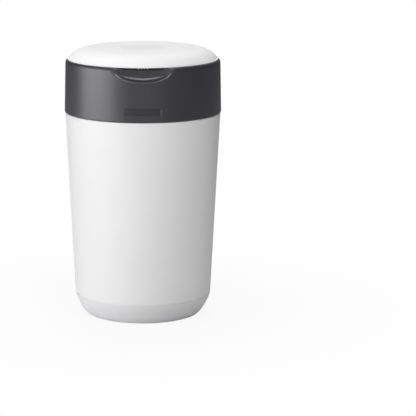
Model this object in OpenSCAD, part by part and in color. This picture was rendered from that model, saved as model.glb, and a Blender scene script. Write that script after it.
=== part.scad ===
// Twist-type nappy bin: a tapered round tub, a tilting head that holds a film cassette
// in a ratcheted turning ring, and a hinged domed lid. Origin at the centre of the base,
// +Z up, front towards -Y. All lengths are in millimetres and angles in degrees.

/* [Overall] */
// Height of the seam between the tub and the head
seam_z = 325.5; // [300:0.5:360]
// Outer radius of the domed lid's lip under the radius of the head's lower edge
lid_inset = 4.8; // [4.2:0.1:6]
// Rise of the domed lid above its seam
lid_rise = 20; // [18:0.5:24]
// Power of the dome's curve, higher is flatter with a tighter edge
dome_power = 7.75; // [6:0.25:9]

/* [Tub] */
// Wall of the tub
tub_wall = 2.6; // [2:0.1:3]
// Step from the head's lower edge in to the tub
tub_step = 1.1; // [0.8:0.1:2]
// Amount that the tub's radius grows over each millimetre of height
tub_taper = 0.0497; // [0.03:0.001:0.055]
// Height of the thick bead that stiffens the tub's top edge
bead_h = 5; // [3:0.5:7]
// Reach of the bead into the tub
bead_reach = 1.8; // [1.5:0.1:2.2]

/* [Base] */
// Height of the base shell
base_h = 33.5; // [28:0.5:42]
// Width of the base shell's rounded bottom edge
base_round = 20; // [15:0.5:24]
// Power of the rounded bottom edge's curve
base_power = 1.32; // [1.2:0.02:2]
// Wall of the base shell
base_wall = 2.8; // [2.4:0.1:3.4]
// Depth of the seam line between the tub and the base shell
seam_groove = 0.7; // [0.4:0.1:1]
// Radius of each rubber pad
pad_r = 9; // [6:0.5:11]
// Radius of the circle that the pads stand on
pad_circle_r = 74; // [60:0.5:76]
// Thickness of a pad
pad_t = 2; // [1.8:0.1:2.2]
// Height that a pad stands out of the base
pad_proud = 0.8; // [0.5:0.1:1]
// Number of pads
pad_count = 4; // [3:1:6]

/* [Head] */
// Wall of the head's outer shell
collar_wall = 2.7; // [2.4:0.1:3]
// Amount that the head's radius shrinks from its lower edge to its shoulder
collar_draft = 1.5; // [0.5:0.1:2]
// Width of the rounded shoulder
shoulder_w = 3; // [2:0.1:3.4]
// Height of the rounded shoulder
shoulder_h = 7.8; // [5:0.1:9]
// Rounding of the head's lower outer edge
foot_round = 1.2; // [0.6:0.1:2]
// Width of the finger scoop under the lid's front lip
scoop_w = 86.5; // [70:0.5:96]
// Height of the scoop
scoop_h = 22.5; // [16:0.5:26]
// Depth of the scoop from the lid's lip
scoop_depth = 8; // [6:0.5:9]
// Wall behind the scoop
scoop_wall = 2; // [1.6:0.1:2.6]
// Width of the bare label recess
label_w = 56; // [40:1:70]
// Height of the label recess
label_h = 12; // [8:0.5:14]
// Depth of the label recess
label_depth = 0.8; // [0.4:0.1:1.2]
// Height of the label recess's centre above the head's lower edge
label_rise = 16; // [12:0.5:24]
// Gap between the screw bosses and the head's shell
boss_gap = 1.5; // [1:0.1:2.5]
// Radius of a screw boss
boss_r = 4; // [3.5:0.1:4.5]
// Number of head screws
screw_count = 4; // [4:4:4]
// Radius of a head screw's shank
screw_r = 1.5; // [1.2:0.1:1.8]

/* [Cassette] */
// Radius of the cassette's top plate
cassette_r = 94; // [86:0.5:100]
// Reach of each driving lug past the top plate
lug_reach = 7; // [5:0.5:9]
// Width of each driving lug
lug_w = 16; // [10:0.5:22]
// Number of driving lugs
lug_count = 4; // [4:1:6]
// Height of the cassette from its floor to its top plate
cassette_h = 55.1; // [50:0.1:62]
// Height of the tube's rim above the top plate
rim_h = 12; // [9:0.5:14]
// Radius of the tube's bore, which nappies pass through
throat_r = 58; // [50:0.5:62]
// Wall of the cassette
cassette_wall = 2.2; // [1.8:0.1:2.6]
// Height of the top plate's skirt
skirt_h = 13; // [9:0.5:15]
// Width of the gap that the film leaves through
film_gap = 2.5; // [1.5:0.1:4]
// Number of grooved panels round the cassette's side
panel_count = 8; // [6:1:10]

/* [Twist ring] */
// Wall of the twist ring
ring_wall = 2.7; // [2.2:0.1:3.2]
// Height of the ratchet teeth over the ring's wall
tooth_h = 2.3; // [1.8:0.1:2.6]
// Number of ratchet teeth
tooth_count = 72; // [72:4:80]
// Height of the toothed band
tooth_band_h = 7; // [5:0.5:8]
// Height of the grip bead above the cassette's top plate
grip_rise = 8; // [6:0.5:9]
// Number of finger scallops in the grip bead
scallop_count = 16; // [8:2:20]
// Radius of a finger scallop
scallop_r = 7; // [5:0.5:8]

/* [Cradle] */
// Wall of the cradle that the twist ring turns in
cradle_wall = 2.7; // [2.2:0.1:3]
// Thickness of the cradle's floor
floor_t = 3.5; // [3:0.1:4.5]
// Thickness of the cradle's fixing flange and of the ring retainer
flange_t = 2.5; // [2:0.1:3]
// Radius of a pawl's pivot pin
pawl_pin_r = 1.6; // [1.3:0.1:1.8]

/* [Gripper] */
// Radius of the gripper's mouth at its lower end
mouth_r = 34; // [28:0.5:40]
// Drop of the gripper's fingers below the cradle
finger_drop = 30; // [22:0.5:36]
// Thickness of the fingers
finger_t = 1.8; // [1.4:0.1:2.4]
// Number of fingers
finger_count = 12; // [8:1:16]

/* [Cutter] */
// Length of the cutter's guide
guide_l = 96; // [90:1:100]
// Width of the guide
guide_w = 14; // [12:0.5:14.5]
// Height of the guide
guide_h = 14; // [12:0.5:16]
// Length of the slider's body
slider_l = 22; // [18:1:28]
// Drop of the slider's finger grip below the guide
grip_drop = 13; // [11:0.5:15]

/* [Hinges] */
// Radius of the head hinge's barrel
head_barrel_r = 6; // [5:0.1:6.4]
// Radius of the head hinge's pin
head_pin_r = 2.2; // [1.8:0.1:2.6]
// Half the width of the head's hinge knuckle
head_knuckle_w = 27; // [20:0.5:30]
// Radius of the lid hinge's barrel
lid_barrel_r = 4.2; // [3.8:0.1:4.4]
// Radius of the lid hinge's pin
lid_pin_r = 1.5; // [1.2:0.1:1.8]
// Half the width of the lid's hinge knuckle
lid_knuckle_w = 26.3; // [20:0.1:28]
// Width of each hinge ear
ear_w = 9; // [7:0.5:10]

/* [Lid] */
// Wall of the lid
lid_wall = 2.4; // [2:0.1:2.8]
// Height of the lid's lip
lip_h = 1.6; // [1.2:0.1:2]
// Radius of the shallow round dish in the lid's crown
dish_r = 36.5; // [25:0.5:45]
// Depth of the dish
dish_depth = 0.9; // [0.5:0.1:1.2]
// Number of grip ribs under the lid's front lip
rib_count = 4; // [3:1:6]
// Thickness of the lid's inner panel
liner_t = 2; // [1.6:0.1:2.4]

/* [Hidden] */

// Clearances: a seat, a turning piece in its bearing, a pin in its hole, a loose margin,
// and the hair's breadth by which two cutting forms overlap
seat_gap = 0.3;
bearing_gap = 0.5;
pin_gap = 0.05;
thread_gap = 0.1;
margin = 1;
hair = 0.01;
// A cut runs past the face that it opens by this much
past = 1;
// Bevel of a moulded piece's free edge
bevel = 1;
round_fn = 128;
small_fn = 32;
curve_steps = 12;
shoulder_steps = 6;
scoop_steps = 24;
// Place of the middle point of the head's rounded lower edge, as a share of its radius
foot_middle = 0.3;
white_plastic = "#f2f2f2";
base_white = "#e4e5e7";
slate_plastic = "#4a4b50";
dark_plastic = "#2f3033";
steel_color = "#b9bcc0";
rubber_color = "#3b3c3e";
film_color = "#cfe4ea";

// Heights, from the seam up through the cassette to the lid
cradle_z = seam_z + 1.5;
floor_z = cradle_z + floor_t;
cassette_z = floor_z + 0.4;
plate_z = cassette_z + cassette_h;
rim_z = plate_z + rim_h;
lid_z = rim_z + 11;
flange_z = plate_z - 2;
retainer_z = flange_z + flange_t;
tooth_z = flange_z - flange_t - tooth_band_h - 3;
ledge_z = lid_z - 3.3;
ledge_t = 2.5;
plate_t = 3;
lug_t = 4;
tub_top_z = seam_z - 0.5;

// Radii, from the cassette out to the head's shell
lug_r = cassette_r + lug_reach;
ring_in_r = lug_r + 0.8;
ring_out_r = ring_in_r + ring_wall;
tooth_root_r = ring_out_r + 0.25;
tooth_r = ring_out_r + tooth_h;
cradle_in_r = tooth_r + bearing_gap;
cradle_out_r = cradle_in_r + cradle_wall;
boss_circle_r = cradle_out_r + boss_r;
collar_top_in_r = boss_circle_r + boss_r + boss_gap;
shoulder_r = collar_top_in_r + collar_wall + 0.3;
collar_r = shoulder_r + collar_draft;
collar_low_in_r = collar_r - collar_wall;
lid_r = collar_r - lid_inset;
tub_top_r = collar_r - tub_step;
bead_in_r = tub_top_r - tub_wall - bead_reach;
rim_out_r = collar_low_in_r - 1.5;
rim_in_r = bead_in_r - 4.5;
sleeve_out_r = bead_in_r - seat_gap;
neck_h = 6;
sleeve_h = 20;
body_r = cassette_r - 2;
tube_out_r = throat_r + 2.5;
rim_r = tube_out_r + 3.5;
core_foot_r = tube_out_r + 1.2;
film_in_r = core_foot_r + 0.4;
cover_in_r = rim_r + film_gap;
flange_out_r = boss_circle_r + boss_r - 0.5;
lip_in_r = ring_out_r + 0.7;
lip_out_r = lip_in_r + 2.6;

// Distance in front of the axis at which the front's cutting forms start
cut_start_y = collar_r * 0.7;

// Front catch: its width and the height of its lower edge
catch_w = 20;
catch_z = tub_top_z - 8.5;

// Hinge lines, both parallel to X: their inset, and the notches' room beside the ears
pivot_inset = 10;
head_notch_room = 12;
tub_notch_room = 4;
lid_notch_room = 5;
head_pivot_y = collar_r - pivot_inset;
head_pivot_z = seam_z;
head_notch_w = head_knuckle_w + ear_w + head_notch_room;
head_notch_h = 14;
tub_notch_w = head_knuckle_w + ear_w + tub_notch_room;
tub_notch_h = head_barrel_r + 1;
lid_pivot_y = collar_r - pivot_inset;
lid_pivot_z = lid_z - 1.5;
lid_notch_w = lid_knuckle_w + ear_w + lid_notch_room;
lid_notch_y = lid_pivot_y - lid_barrel_r - 0.8;
shelf_z = lid_pivot_z - lid_barrel_r - 0.8;
ear_gap = 0.7;
// Height of the web that joins the head's hinge knuckle to the shell
web_h = head_notch_h + 7;

// Gripper, clamp and cutter below the cradle
floor_hole_r = throat_r + 4;
grip_flange_in_r = floor_hole_r - 1.5;
grip_flange_out_r = floor_hole_r + 9;
clamp_out_r = grip_flange_out_r + 9;
grip_flange_t = 2;
clamp_t = 3;
clamp_z = cradle_z - grip_flange_t - clamp_t;
clamp_screw_r = (grip_flange_out_r + clamp_out_r) / 2;
clamp_shank_r = 1.2;
guide_y = -(clamp_out_r + 2 + guide_w / 2);
guide_z = cradle_z - guide_h;
guide_wall = 2.5;
guide_lip = 2;
slider_w = guide_w - 2 * guide_wall - 0.6;
neck_w = slider_w - 2 * guide_lip;
slider_rest_x = -(guide_l / 2 - guide_wall - slider_l / 2 - seat_gap);
blade_t = 0.6;

// Pawls: one on each side of the cradle
pawl_pivot_r = cradle_out_r + 3.6;
pawl_pivot_y = -16;
pawl_z = tooth_z + 0.5;
pawl_h = 6;
// The pawl's spring tail runs straight, then slants to the cradle's wall
tail_straight_l = 12;
tail_l = 22;

// Screws: how far a head screw reaches into its boss, and the lid screws' sizes
boss_bite = 10;
liner_bite = 6;
liner_shank_r = 1.4;
liner_post_r = 3.4;
hoop_t = 1.6;
// Stiffening ribs round the cradle: their turn from each quarter and their reach
rib_turn = 25;
rib_reach = 2.5;

// ---- shapes that repeat ----

// Ring with a rectangular section
module ring(r_in, r_out, z_low, z_high) {
    rotate_extrude($fn = round_fn)
        translate([r_in, z_low])
            square([r_out - r_in, z_high - z_low]);
}

// Copies of the children at equal steps round the Z axis
module around(count, start = 0) {
    for (i = [0:count - 1])
        rotate([0, 0, start + i * 360 / count])
            children();
}

// Box given by its two opposite corners
module box(low, high) {
    translate(low)
        cube(high - low);
}

// Cylinder along X, centred on x = 0
module x_rod(r, half_len, y, z) {
    translate([-half_len, y, z])
        rotate([0, 90, 0])
            cylinder(r = r, h = 2 * half_len, $fn = small_fn * 2);
}

// Screw standing head down: its head rests against the face at z
module screw(z, shank_r, shank_l, head_r, head_h) {
    slot_half_l = head_r * 0.65;
    slot_w = 0.7;
    translate([0, 0, z - head_h])
        difference() {
            union() {
                cylinder(r = head_r, h = head_h, $fn = small_fn);
                cylinder(r = shank_r, h = head_h + shank_l, $fn = small_fn);
            }
            for (turn = [0, 90])
                rotate([0, 0, turn])
                    translate([-slot_half_l, -slot_w / 2, -past])
                        cube([2 * slot_half_l, slot_w, past + head_h / 2]);
        }
}

// Points of the rounded bottom edge, set in by a wall, from the flat out to the side
function base_curve(inset) = [for (i = [0:curve_steps])
    let (a = 90 * i / curve_steps)
    [base_flat_r - inset + base_round * pow(sin(a), 2 / base_power),
     base_h - (base_h - inset) * pow(cos(a), 2 / base_power)]];
base_top_r = tub_top_r - tub_taper * (tub_top_z - base_h);
base_flat_r = base_top_r - base_round;

// Points of the dome, from the edge to the crown, r falling from edge_r to 0
function dome_curve(edge_r, low_z, rise) = [for (i = [0:curve_steps])
    let (share = pow(1 - i / curve_steps, 1.6))
    [edge_r * pow(share, 1 / dome_power), low_z + rise * (1 - share)]];

// Solid under the dome
module dome_solid(edge_r, low_z, rise) {
    rotate_extrude($fn = round_fn)
        polygon(concat([[0, low_z]], dome_curve(edge_r, low_z, rise)));
}

// ---- base and tub ----

module base_shell() {
    foot_ring_r = base_flat_r * 0.42;
    foot_ring_w = 3;
    color(base_white)
        difference() {
            rotate_extrude($fn = round_fn)
                polygon(concat(
                    [[0, pad_proud]],
                    [for (p = base_curve(0)) [p[0], max(p[1], pad_proud)]],
                    [for (i = [curve_steps:-1:0]) base_curve(base_wall)[i]],
                    [[0, base_wall]]));
            around(pad_count)
                translate([pad_circle_r, 0, -past])
                    cylinder(r = pad_r + seat_gap, h = past + pad_t, $fn = small_fn);
            ring(foot_ring_r, foot_ring_r + foot_ring_w, pad_proud - past, pad_proud + margin / 2);
        }
}

module base_pads() {
    pad_edge = 0.6;
    color(rubber_color)
        around(pad_count)
            translate([pad_circle_r, 0, 0])
                rotate_extrude($fn = small_fn)
                    polygon([[0, 0], [pad_r - pad_edge, 0], [pad_r, pad_edge], [pad_r, pad_t], [0, pad_t]]);
}

module tub() {
    fit = base_wall + seat_gap;
    low_in = fit + tub_wall;
    bead_low_r = tub_top_r - tub_wall - tub_taper * (bead_h + bead_reach);
    wall_foot_r = base_top_r - tub_wall + 0.3;
    wall_foot_h = 6;
    notch_reach = 40;
    color(white_plastic)
        difference() {
            rotate_extrude($fn = round_fn)
                polygon(concat(
                    [[0, fit]],
                    base_curve(fit),
                    [[base_top_r - seam_groove, base_h],
                     [base_top_r - seam_groove, base_h + seam_groove],
                     [base_top_r + tub_taper * seam_groove, base_h + seam_groove],
                     [tub_top_r - tub_taper * bevel, tub_top_z - bevel],
                     [tub_top_r - bevel, tub_top_z],
                     [bead_in_r, tub_top_z],
                     [bead_in_r, tub_top_z - bead_h],
                     [bead_low_r, tub_top_z - bead_h - bead_reach],
                     [wall_foot_r, base_h + wall_foot_h],
                     [base_top_r - low_in, base_h]],
                    [for (i = [curve_steps - 1:-1:0]) base_curve(low_in)[i]],
                    [[0, low_in]]));
            box([-tub_notch_w, head_pivot_y - notch_reach, tub_top_z - tub_notch_h],
                [tub_notch_w, collar_r + past, tub_top_z + past]);
        }
}

// Pivot ears on both sides of the gap that a knuckle turns in
module ears(inner_x, y, z, barrel_r, root_low, root_high) {
    for (side = [-1, 1])
        translate([side * (inner_x + ear_w / 2), 0, 0]) {
            x_rod(barrel_r, ear_w / 2, y, z);
            box([-ear_w / 2, root_low[0], root_low[1]], [ear_w / 2, root_high[0], root_high[1]]);
        }
}

module tub_rim() {
    ear_middle_x = head_knuckle_w + ear_gap + ear_w / 2;
    sleeve_low_z = tub_top_z - sleeve_h;
    barrel_low_z = head_pivot_z - head_barrel_r - margin;
    window_in_y = rim_in_r * 0.8;
    catch_side = 3;
    catch_room_y = 9;
    catch_room_h = 5;
    ear_root = 4;
    ear_sink = 0.5;
    color(slate_plastic)
        difference() {
            union() {
                difference() {
                    union() {
                        ring(rim_in_r, rim_out_r, tub_top_z, tub_top_z + neck_h);
                        rotate_extrude($fn = round_fn)
                            polygon([[rim_in_r, sleeve_low_z], [sleeve_out_r - bevel, sleeve_low_z],
                                [sleeve_out_r, sleeve_low_z + bevel], [sleeve_out_r, tub_top_z],
                                [rim_in_r, tub_top_z]]);
                    }
                    box([-ear_middle_x, window_in_y, barrel_low_z],
                        [ear_middle_x, collar_r, seam_z + head_notch_h]);
                    box([-catch_w / 2 - catch_side, -rim_out_r - past, catch_z - margin],
                        [catch_w / 2 + catch_side, -rim_in_r + catch_room_y, catch_z + catch_room_h]);
                }
                ears(head_knuckle_w + ear_gap, head_pivot_y, head_pivot_z, head_barrel_r,
                    [rim_in_r - ear_root, barrel_low_z],
                    [head_pivot_y, head_pivot_z + neck_h - ear_sink]);
            }
            x_rod(head_pin_r + pin_gap, head_knuckle_w + ear_gap + ear_w + past, head_pivot_y, head_pivot_z);
        }
}

module head_hinge_pin() {
    color(steel_color)
        x_rod(head_pin_r, head_knuckle_w + ear_gap + ear_w, head_pivot_y, head_pivot_z);
}

// ---- head ----

// Points of the collar's outer side, from the lower edge to the top of the shoulder
function collar_side() = concat(
    [[collar_r - foot_round, seam_z],
     [collar_r - foot_round * foot_middle, seam_z + foot_round * foot_middle],
     [collar_r, seam_z + foot_round]],
    [for (i = [0:shoulder_steps])
        let (a = 90 * i / shoulder_steps)
        [shoulder_r - shoulder_w * (1 - cos(a)), lid_z - seat_gap - shoulder_h * (1 - sin(a))]]);

// Half-ellipse of the scoop, hanging from the lid's seam
module scoop_outline(grow) {
    polygon([for (i = [0:scoop_steps])
        let (a = 180 + 180 * i / scoop_steps)
        [(scoop_w / 2 + grow) * cos(a), (scoop_h + grow) * sin(a)]]);
}

// The scoop's outline pushed back from the front face
module scoop_prism(grow, lift) {
    translate([0, -cut_start_y, lid_z - seat_gap])
        rotate([90, 0, 0]) {
            linear_extrude(collar_r)
                scoop_outline(grow);
            translate([-scoop_w / 2 - grow, -hair, 0])
                cube([scoop_w + 2 * grow, lift + hair, collar_r]);
        }
}

// Rounded rectangle that stands upright in front of the head
module label_prism() {
    corner = label_h / 4;
    translate([0, -cut_start_y, seam_z + label_rise])
        rotate([90, 0, 0])
            linear_extrude(collar_r) {
                square([label_w - 2 * corner, label_h], center = true);
                square([label_w, label_h - 2 * corner], center = true);
                for (x = [-1, 1], y = [-1, 1])
                    translate([x * (label_w / 2 - corner), y * (label_h / 2 - corner)])
                        circle(r = corner, $fn = small_fn);
            }
}

module head_collar() {
    lip_low_z = plate_z + grip_rise + 2;
    upstand_w = 2.5;
    upstand_in_r = shoulder_r - shoulder_w - upstand_w;
    scoop_r = lid_r - scoop_depth;
    scoop_low_z = lid_z - scoop_h - 9;
    boss_low_z = retainer_z + flange_t;
    boss_h = ledge_z - bevel - boss_low_z;
    screw_hole_h = 14;
    shelf_side = 2;
    shelf_low_z = shelf_z - ledge_t;
    notch_reach = 24;
    lid_ear_half = 3;
    lid_pin_half = lid_knuckle_w + ear_gap + ear_w + past;
    color(slate_plastic) {
        difference() {
            union() {
                rotate_extrude($fn = round_fn)
                    polygon(concat(
                        collar_side(),
                        [[upstand_in_r, lid_z - seat_gap], [upstand_in_r, ledge_z],
                         [lip_in_r, ledge_z], [lip_in_r, lip_low_z], [lip_out_r, lip_low_z],
                         [lip_out_r, ledge_z - ledge_t],
                         [collar_top_in_r, ledge_z - ledge_t],
                         [collar_low_in_r, seam_z]]));
                around(screw_count, 45)
                    translate([boss_circle_r, 0, boss_low_z])
                        cylinder(r = boss_r, h = boss_h, $fn = small_fn * 2);
                intersection() {
                    scoop_prism(scoop_wall, -margin);
                    ring(scoop_r - scoop_wall, collar_top_in_r + margin, scoop_low_z, ledge_z - bevel);
                }
                intersection() {
                    box([-lid_notch_w - shelf_side, lip_in_r, shelf_low_z],
                        [lid_notch_w + shelf_side, collar_r, ledge_z]);
                    ring(lip_in_r, collar_top_in_r + margin, shelf_low_z, ledge_z);
                }
                intersection() {
                    box([-head_knuckle_w, cradle_out_r + seat_gap, head_pivot_z],
                        [head_knuckle_w, collar_r, seam_z + web_h]);
                    ring(cradle_in_r, collar_low_in_r + margin, seam_z, seam_z + web_h);
                }
            }
            around(screw_count, 45)
                translate([boss_circle_r, 0, retainer_z])
                    cylinder(r = screw_r + thread_gap, h = screw_hole_h, $fn = small_fn);
            intersection() {
                scoop_prism(0, 2 * past);
                ring(scoop_r, collar_r + past, scoop_low_z, lid_z + past);
            }
            intersection() {
                label_prism();
                ring(collar_r - collar_draft * label_rise / head_h() - label_depth, collar_r + past,
                    seam_z, seam_z + 2 * label_rise);
            }
            box([-lid_notch_w, lid_notch_y, shelf_z], [lid_notch_w, collar_r + past, lid_z + past]);
            difference() {
                box([-head_notch_w, head_pivot_y - notch_reach, seam_z - past],
                    [head_notch_w, collar_r + past, seam_z + head_notch_h]);
                box([-head_knuckle_w, 0, seam_z - 2 * past],
                    [head_knuckle_w, head_pivot_y + margin, seam_z + head_notch_h + past]);
            }
            x_rod(head_pin_r + pin_gap, head_knuckle_w + past, head_pivot_y, head_pivot_z);
        }
        difference() {
            x_rod(head_barrel_r, head_knuckle_w, head_pivot_y, head_pivot_z);
            x_rod(head_pin_r + pin_gap, head_knuckle_w + past, head_pivot_y, head_pivot_z);
        }
        difference() {
            ears(lid_knuckle_w + ear_gap, lid_pivot_y, lid_pivot_z, lid_barrel_r,
                [lid_pivot_y - lid_ear_half, shelf_z - margin], [lid_pivot_y + lid_ear_half, lid_pivot_z]);
            x_rod(lid_pin_r + pin_gap, lid_pin_half, lid_pivot_y, lid_pivot_z);
        }
    }
}

// Height of the head, from the tub's seam to the lid's
function head_h() = lid_z - seam_z;

module cassette_cradle() {
    rib_low_z = cradle_z + 8;
    rib_half_t = 1;
    window_low_y = -5;
    window_high_y = 9;
    window_drop = 2.5;
    pin_bite = 2;
    color(dark_plastic)
        difference() {
            union() {
                ring(floor_hole_r, cradle_out_r, cradle_z, floor_z);
                ring(cradle_in_r, cradle_out_r, cradle_z, retainer_z);
                ring(cradle_in_r, flange_out_r, retainer_z - flange_t, retainer_z);
                for (side = [-1, 1])
                    around(4, side * rib_turn)
                        box([cradle_out_r - 0.5, -rib_half_t, rib_low_z],
                            [cradle_out_r + rib_reach, rib_half_t, retainer_z - margin]);
            }
            around(screw_count, 45)
                translate([boss_circle_r, 0, retainer_z - flange_t - past])
                    cylinder(r = screw_r + 0.4, h = flange_t + 2 * past, $fn = small_fn);
            around(2) {
                box([cradle_in_r - 2 * past, window_low_y, pawl_z - window_drop],
                    [cradle_out_r + 4 * past, window_high_y, retainer_z - flange_t - margin]);
                translate([pawl_pivot_r, pawl_pivot_y, retainer_z - flange_t - past])
                    cylinder(r = pawl_pin_r, h = past + pin_bite, $fn = small_fn);
            }
            around(screw_count, 45)
                translate([clamp_screw_r, 0, cradle_z - past])
                    cylinder(r = clamp_shank_r + thread_gap, h = past + floor_t - 0.5, $fn = small_fn);
            scoop_clearance();
            x_rod(head_barrel_r + seat_gap, head_knuckle_w + margin, head_pivot_y, head_pivot_z);
        }
}

// Clears the back of the finger scoop out of the flanges behind it
module scoop_clearance() {
    low_z = flange_z - past;
    high_z = retainer_z + flange_t + past;
    intersection() {
        ring(lid_r - scoop_depth - scoop_wall - margin, collar_r, low_z, high_z);
        box([-scoop_w / 2, -collar_r, low_z - past], [scoop_w / 2, 0, high_z + past]);
    }
}

module ring_retainer() {
    color(slate_plastic)
        difference() {
            ring(lip_in_r, flange_out_r, retainer_z, retainer_z + flange_t);
            scoop_clearance();
            around(screw_count, 45)
                translate([boss_circle_r, 0, retainer_z - past])
                    cylinder(r = screw_r + 0.4, h = flange_t + 2 * past, $fn = small_fn);
        }
}

module head_screws() {
    color(steel_color)
        around(screw_count, 45)
            translate([boss_circle_r, 0, 0])
                screw(retainer_z - flange_t, screw_r, 2 * flange_t + boss_bite, 2 * screw_r, 2);
}

module front_catch() {
    reach = sleeve_out_r - 2;
    low_z = catch_z;
    tongue_out_r = cradle_out_r + 2.6;
    tongue_top_z = cradle_z + 22;
    nose = 1.5;
    color(slate_plastic)
        intersection() {
            rotate_extrude($fn = round_fn)
                polygon([[cradle_out_r + seat_gap, low_z], [reach - nose, low_z],
                    [reach, low_z + nose], [reach, low_z + 2 * nose], [tongue_out_r, low_z + 5],
                    [tongue_out_r, tongue_top_z], [cradle_out_r + seat_gap, tongue_top_z]]);
            box([-catch_w / 2, -collar_r, 0], [catch_w / 2, 0, lid_z]);
        }
}

// Sprung pawl: hub, arm with a nose that rests between two teeth, and a thin spring tail
module click_pawl() {
    nose_r = tooth_root_r + seat_gap + 0.1;
    color(rubber_color)
        difference() {
            union() {
                translate([pawl_pivot_r, pawl_pivot_y, pawl_z])
                    cylinder(r = 3.1, h = pawl_h, $fn = small_fn);
                translate([0, 0, pawl_z])
                    linear_extrude(pawl_h)
                        polygon([[pawl_pivot_r - 2, pawl_pivot_y], [pawl_pivot_r + 1.5, pawl_pivot_y],
                            [cradle_out_r + 3, 4.5], [cradle_out_r + 0.7, 5],
                            [nose_r + 0.5, 0.8], [nose_r, 0], [nose_r + 0.5, -0.8],
                            [cradle_out_r + 0.7, -4]]);
                translate([0, 0, pawl_z + 1])
                    linear_extrude(pawl_h - 2)
                        polygon([[pawl_pivot_r + 1, pawl_pivot_y],
                            [pawl_pivot_r + 1, pawl_pivot_y - tail_straight_l],
                            [cradle_out_r + 1.4, pawl_pivot_y - tail_l],
                            [cradle_out_r + 0.6, pawl_pivot_y - tail_l],
                            [pawl_pivot_r, pawl_pivot_y - tail_straight_l],
                            [pawl_pivot_r, pawl_pivot_y]]);
            }
            translate([pawl_pivot_r, pawl_pivot_y, pawl_z - past])
                cylinder(r = pawl_pin_r + pin_gap, h = pawl_h + 2 * past, $fn = small_fn);
        }
}

module click_pawl_right() {
    click_pawl();
}

module click_pawl_left() {
    rotate([0, 0, 180])
        click_pawl();
}

module pawl_pins() {
    top_z = retainer_z - flange_t + 2;
    color(steel_color)
        around(2)
            translate([pawl_pivot_r, pawl_pivot_y, pawl_z - 1.6]) {
                cylinder(r = pawl_pin_r, h = top_z - pawl_z + 1.6, $fn = small_fn);
                cylinder(r = 2.9, h = 1.3, $fn = small_fn);
            }
}

// ---- turning ring and cassette ----

// Toothed outline of the ratchet band
module tooth_outline() {
    polygon([for (i = [0:2 * tooth_count - 1])
        let (a = 180 * i / tooth_count, r = i % 2 == 0 ? tooth_root_r : tooth_r)
        [r * cos(a), r * sin(a)]]);
}

module twist_ring() {
    seat_z = plate_z - lug_t - seat_gap;
    top_z = plate_z + grip_rise;
    dog_a = asin((lug_w / 2 + 2.5) / lug_r);
    color(slate_plastic)
        difference() {
            union() {
                rotate_extrude($fn = round_fn)
                    polygon([[ring_in_r, floor_z + seat_gap], [ring_out_r, floor_z + seat_gap],
                        [ring_out_r, top_z - 1], [ring_out_r - 1, top_z], [ring_in_r - 1.2, top_z],
                        [ring_in_r - 2.2, top_z - 1], [ring_in_r - 2.2, top_z - 2.5],
                        [ring_in_r, top_z - 4]]);
                ring(cassette_r + 1.5, ring_in_r + 1, seat_z - 3, seat_z);
                difference() {
                    translate([0, 0, tooth_z])
                        linear_extrude(tooth_band_h)
                            tooth_outline();
                    cylinder(r = ring_in_r + 1, h = 2 * tooth_z, $fn = round_fn);
                }
                for (side = [-1, 1])
                    around(lug_count, 45 + side * dog_a)
                        box([cassette_r + 2, -1, seat_z - 1], [ring_in_r + 1, 1, plate_z - 1]);
            }
            around(scallop_count)
                translate([ring_out_r + scallop_r - 1.6, 0, top_z - 5])
                    cylinder(r = scallop_r, h = 6, $fn = small_fn);
        }
}

module cassette_body() {
    top_z = plate_z - plate_t;
    round_r = 5;
    panel_low_z = cassette_z + round_r + margin / 2;
    panel_high_z = plate_z - skirt_h - 2;
    panel_half_w = body_r * sin(100 / panel_count);
    color(dark_plastic)
        difference() {
            union() {
                rotate_extrude($fn = round_fn)
                    polygon(concat(
                        [[tube_out_r + seat_gap, cassette_z]],
                        [for (i = [0:5])
                            let (a = 18 * i)
                            [body_r - round_r * (1 - sin(a)), cassette_z + round_r * (1 - cos(a))]],
                        [[body_r, top_z], [body_r - cassette_wall, top_z],
                         [body_r - cassette_wall, cassette_z + round_r],
                         [body_r - round_r, cassette_z + cassette_wall],
                         [tube_out_r + seat_gap, cassette_z + cassette_wall]]));
                around(panel_count)
                    intersection() {
                        ring(body_r - 1, body_r + 0.8, panel_low_z, panel_high_z);
                        box([0, -panel_half_w, cassette_z], [2 * body_r, panel_half_w, plate_z]);
                    }
            }
            around(panel_count, 180 / panel_count)
                for (side = [-1, 1])
                    rotate([0, 0, side * 18 / panel_count])
                        box([body_r - 1, -1.4, panel_low_z + 1], [body_r + 2, 1.4, panel_high_z - 1]);
        }
}

// Tube of the cassette: a foot rests on the cassette's floor, and its outer wall flares at the top
module cassette_core() {
    foot_z = cassette_z + cassette_wall + seat_gap;
    foot_h = 1.6;
    flare_z = rim_z - 4;
    color(dark_plastic)
        rotate_extrude($fn = round_fn)
            polygon([[throat_r, cassette_z], [tube_out_r, cassette_z], [tube_out_r, foot_z],
                [core_foot_r, foot_z], [core_foot_r, foot_z + foot_h], [tube_out_r, foot_z + foot_h],
                [tube_out_r, flare_z], [rim_r - 1.5, flare_z], [rim_r - 2.2, plate_z + 1.5],
                [rim_r - 0.8, plate_z + 1.5], [rim_r, rim_z - 0.8], [rim_r - 0.8, rim_z],
                [throat_r + 0.8, rim_z], [throat_r, rim_z - 0.8]]);
}

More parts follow.
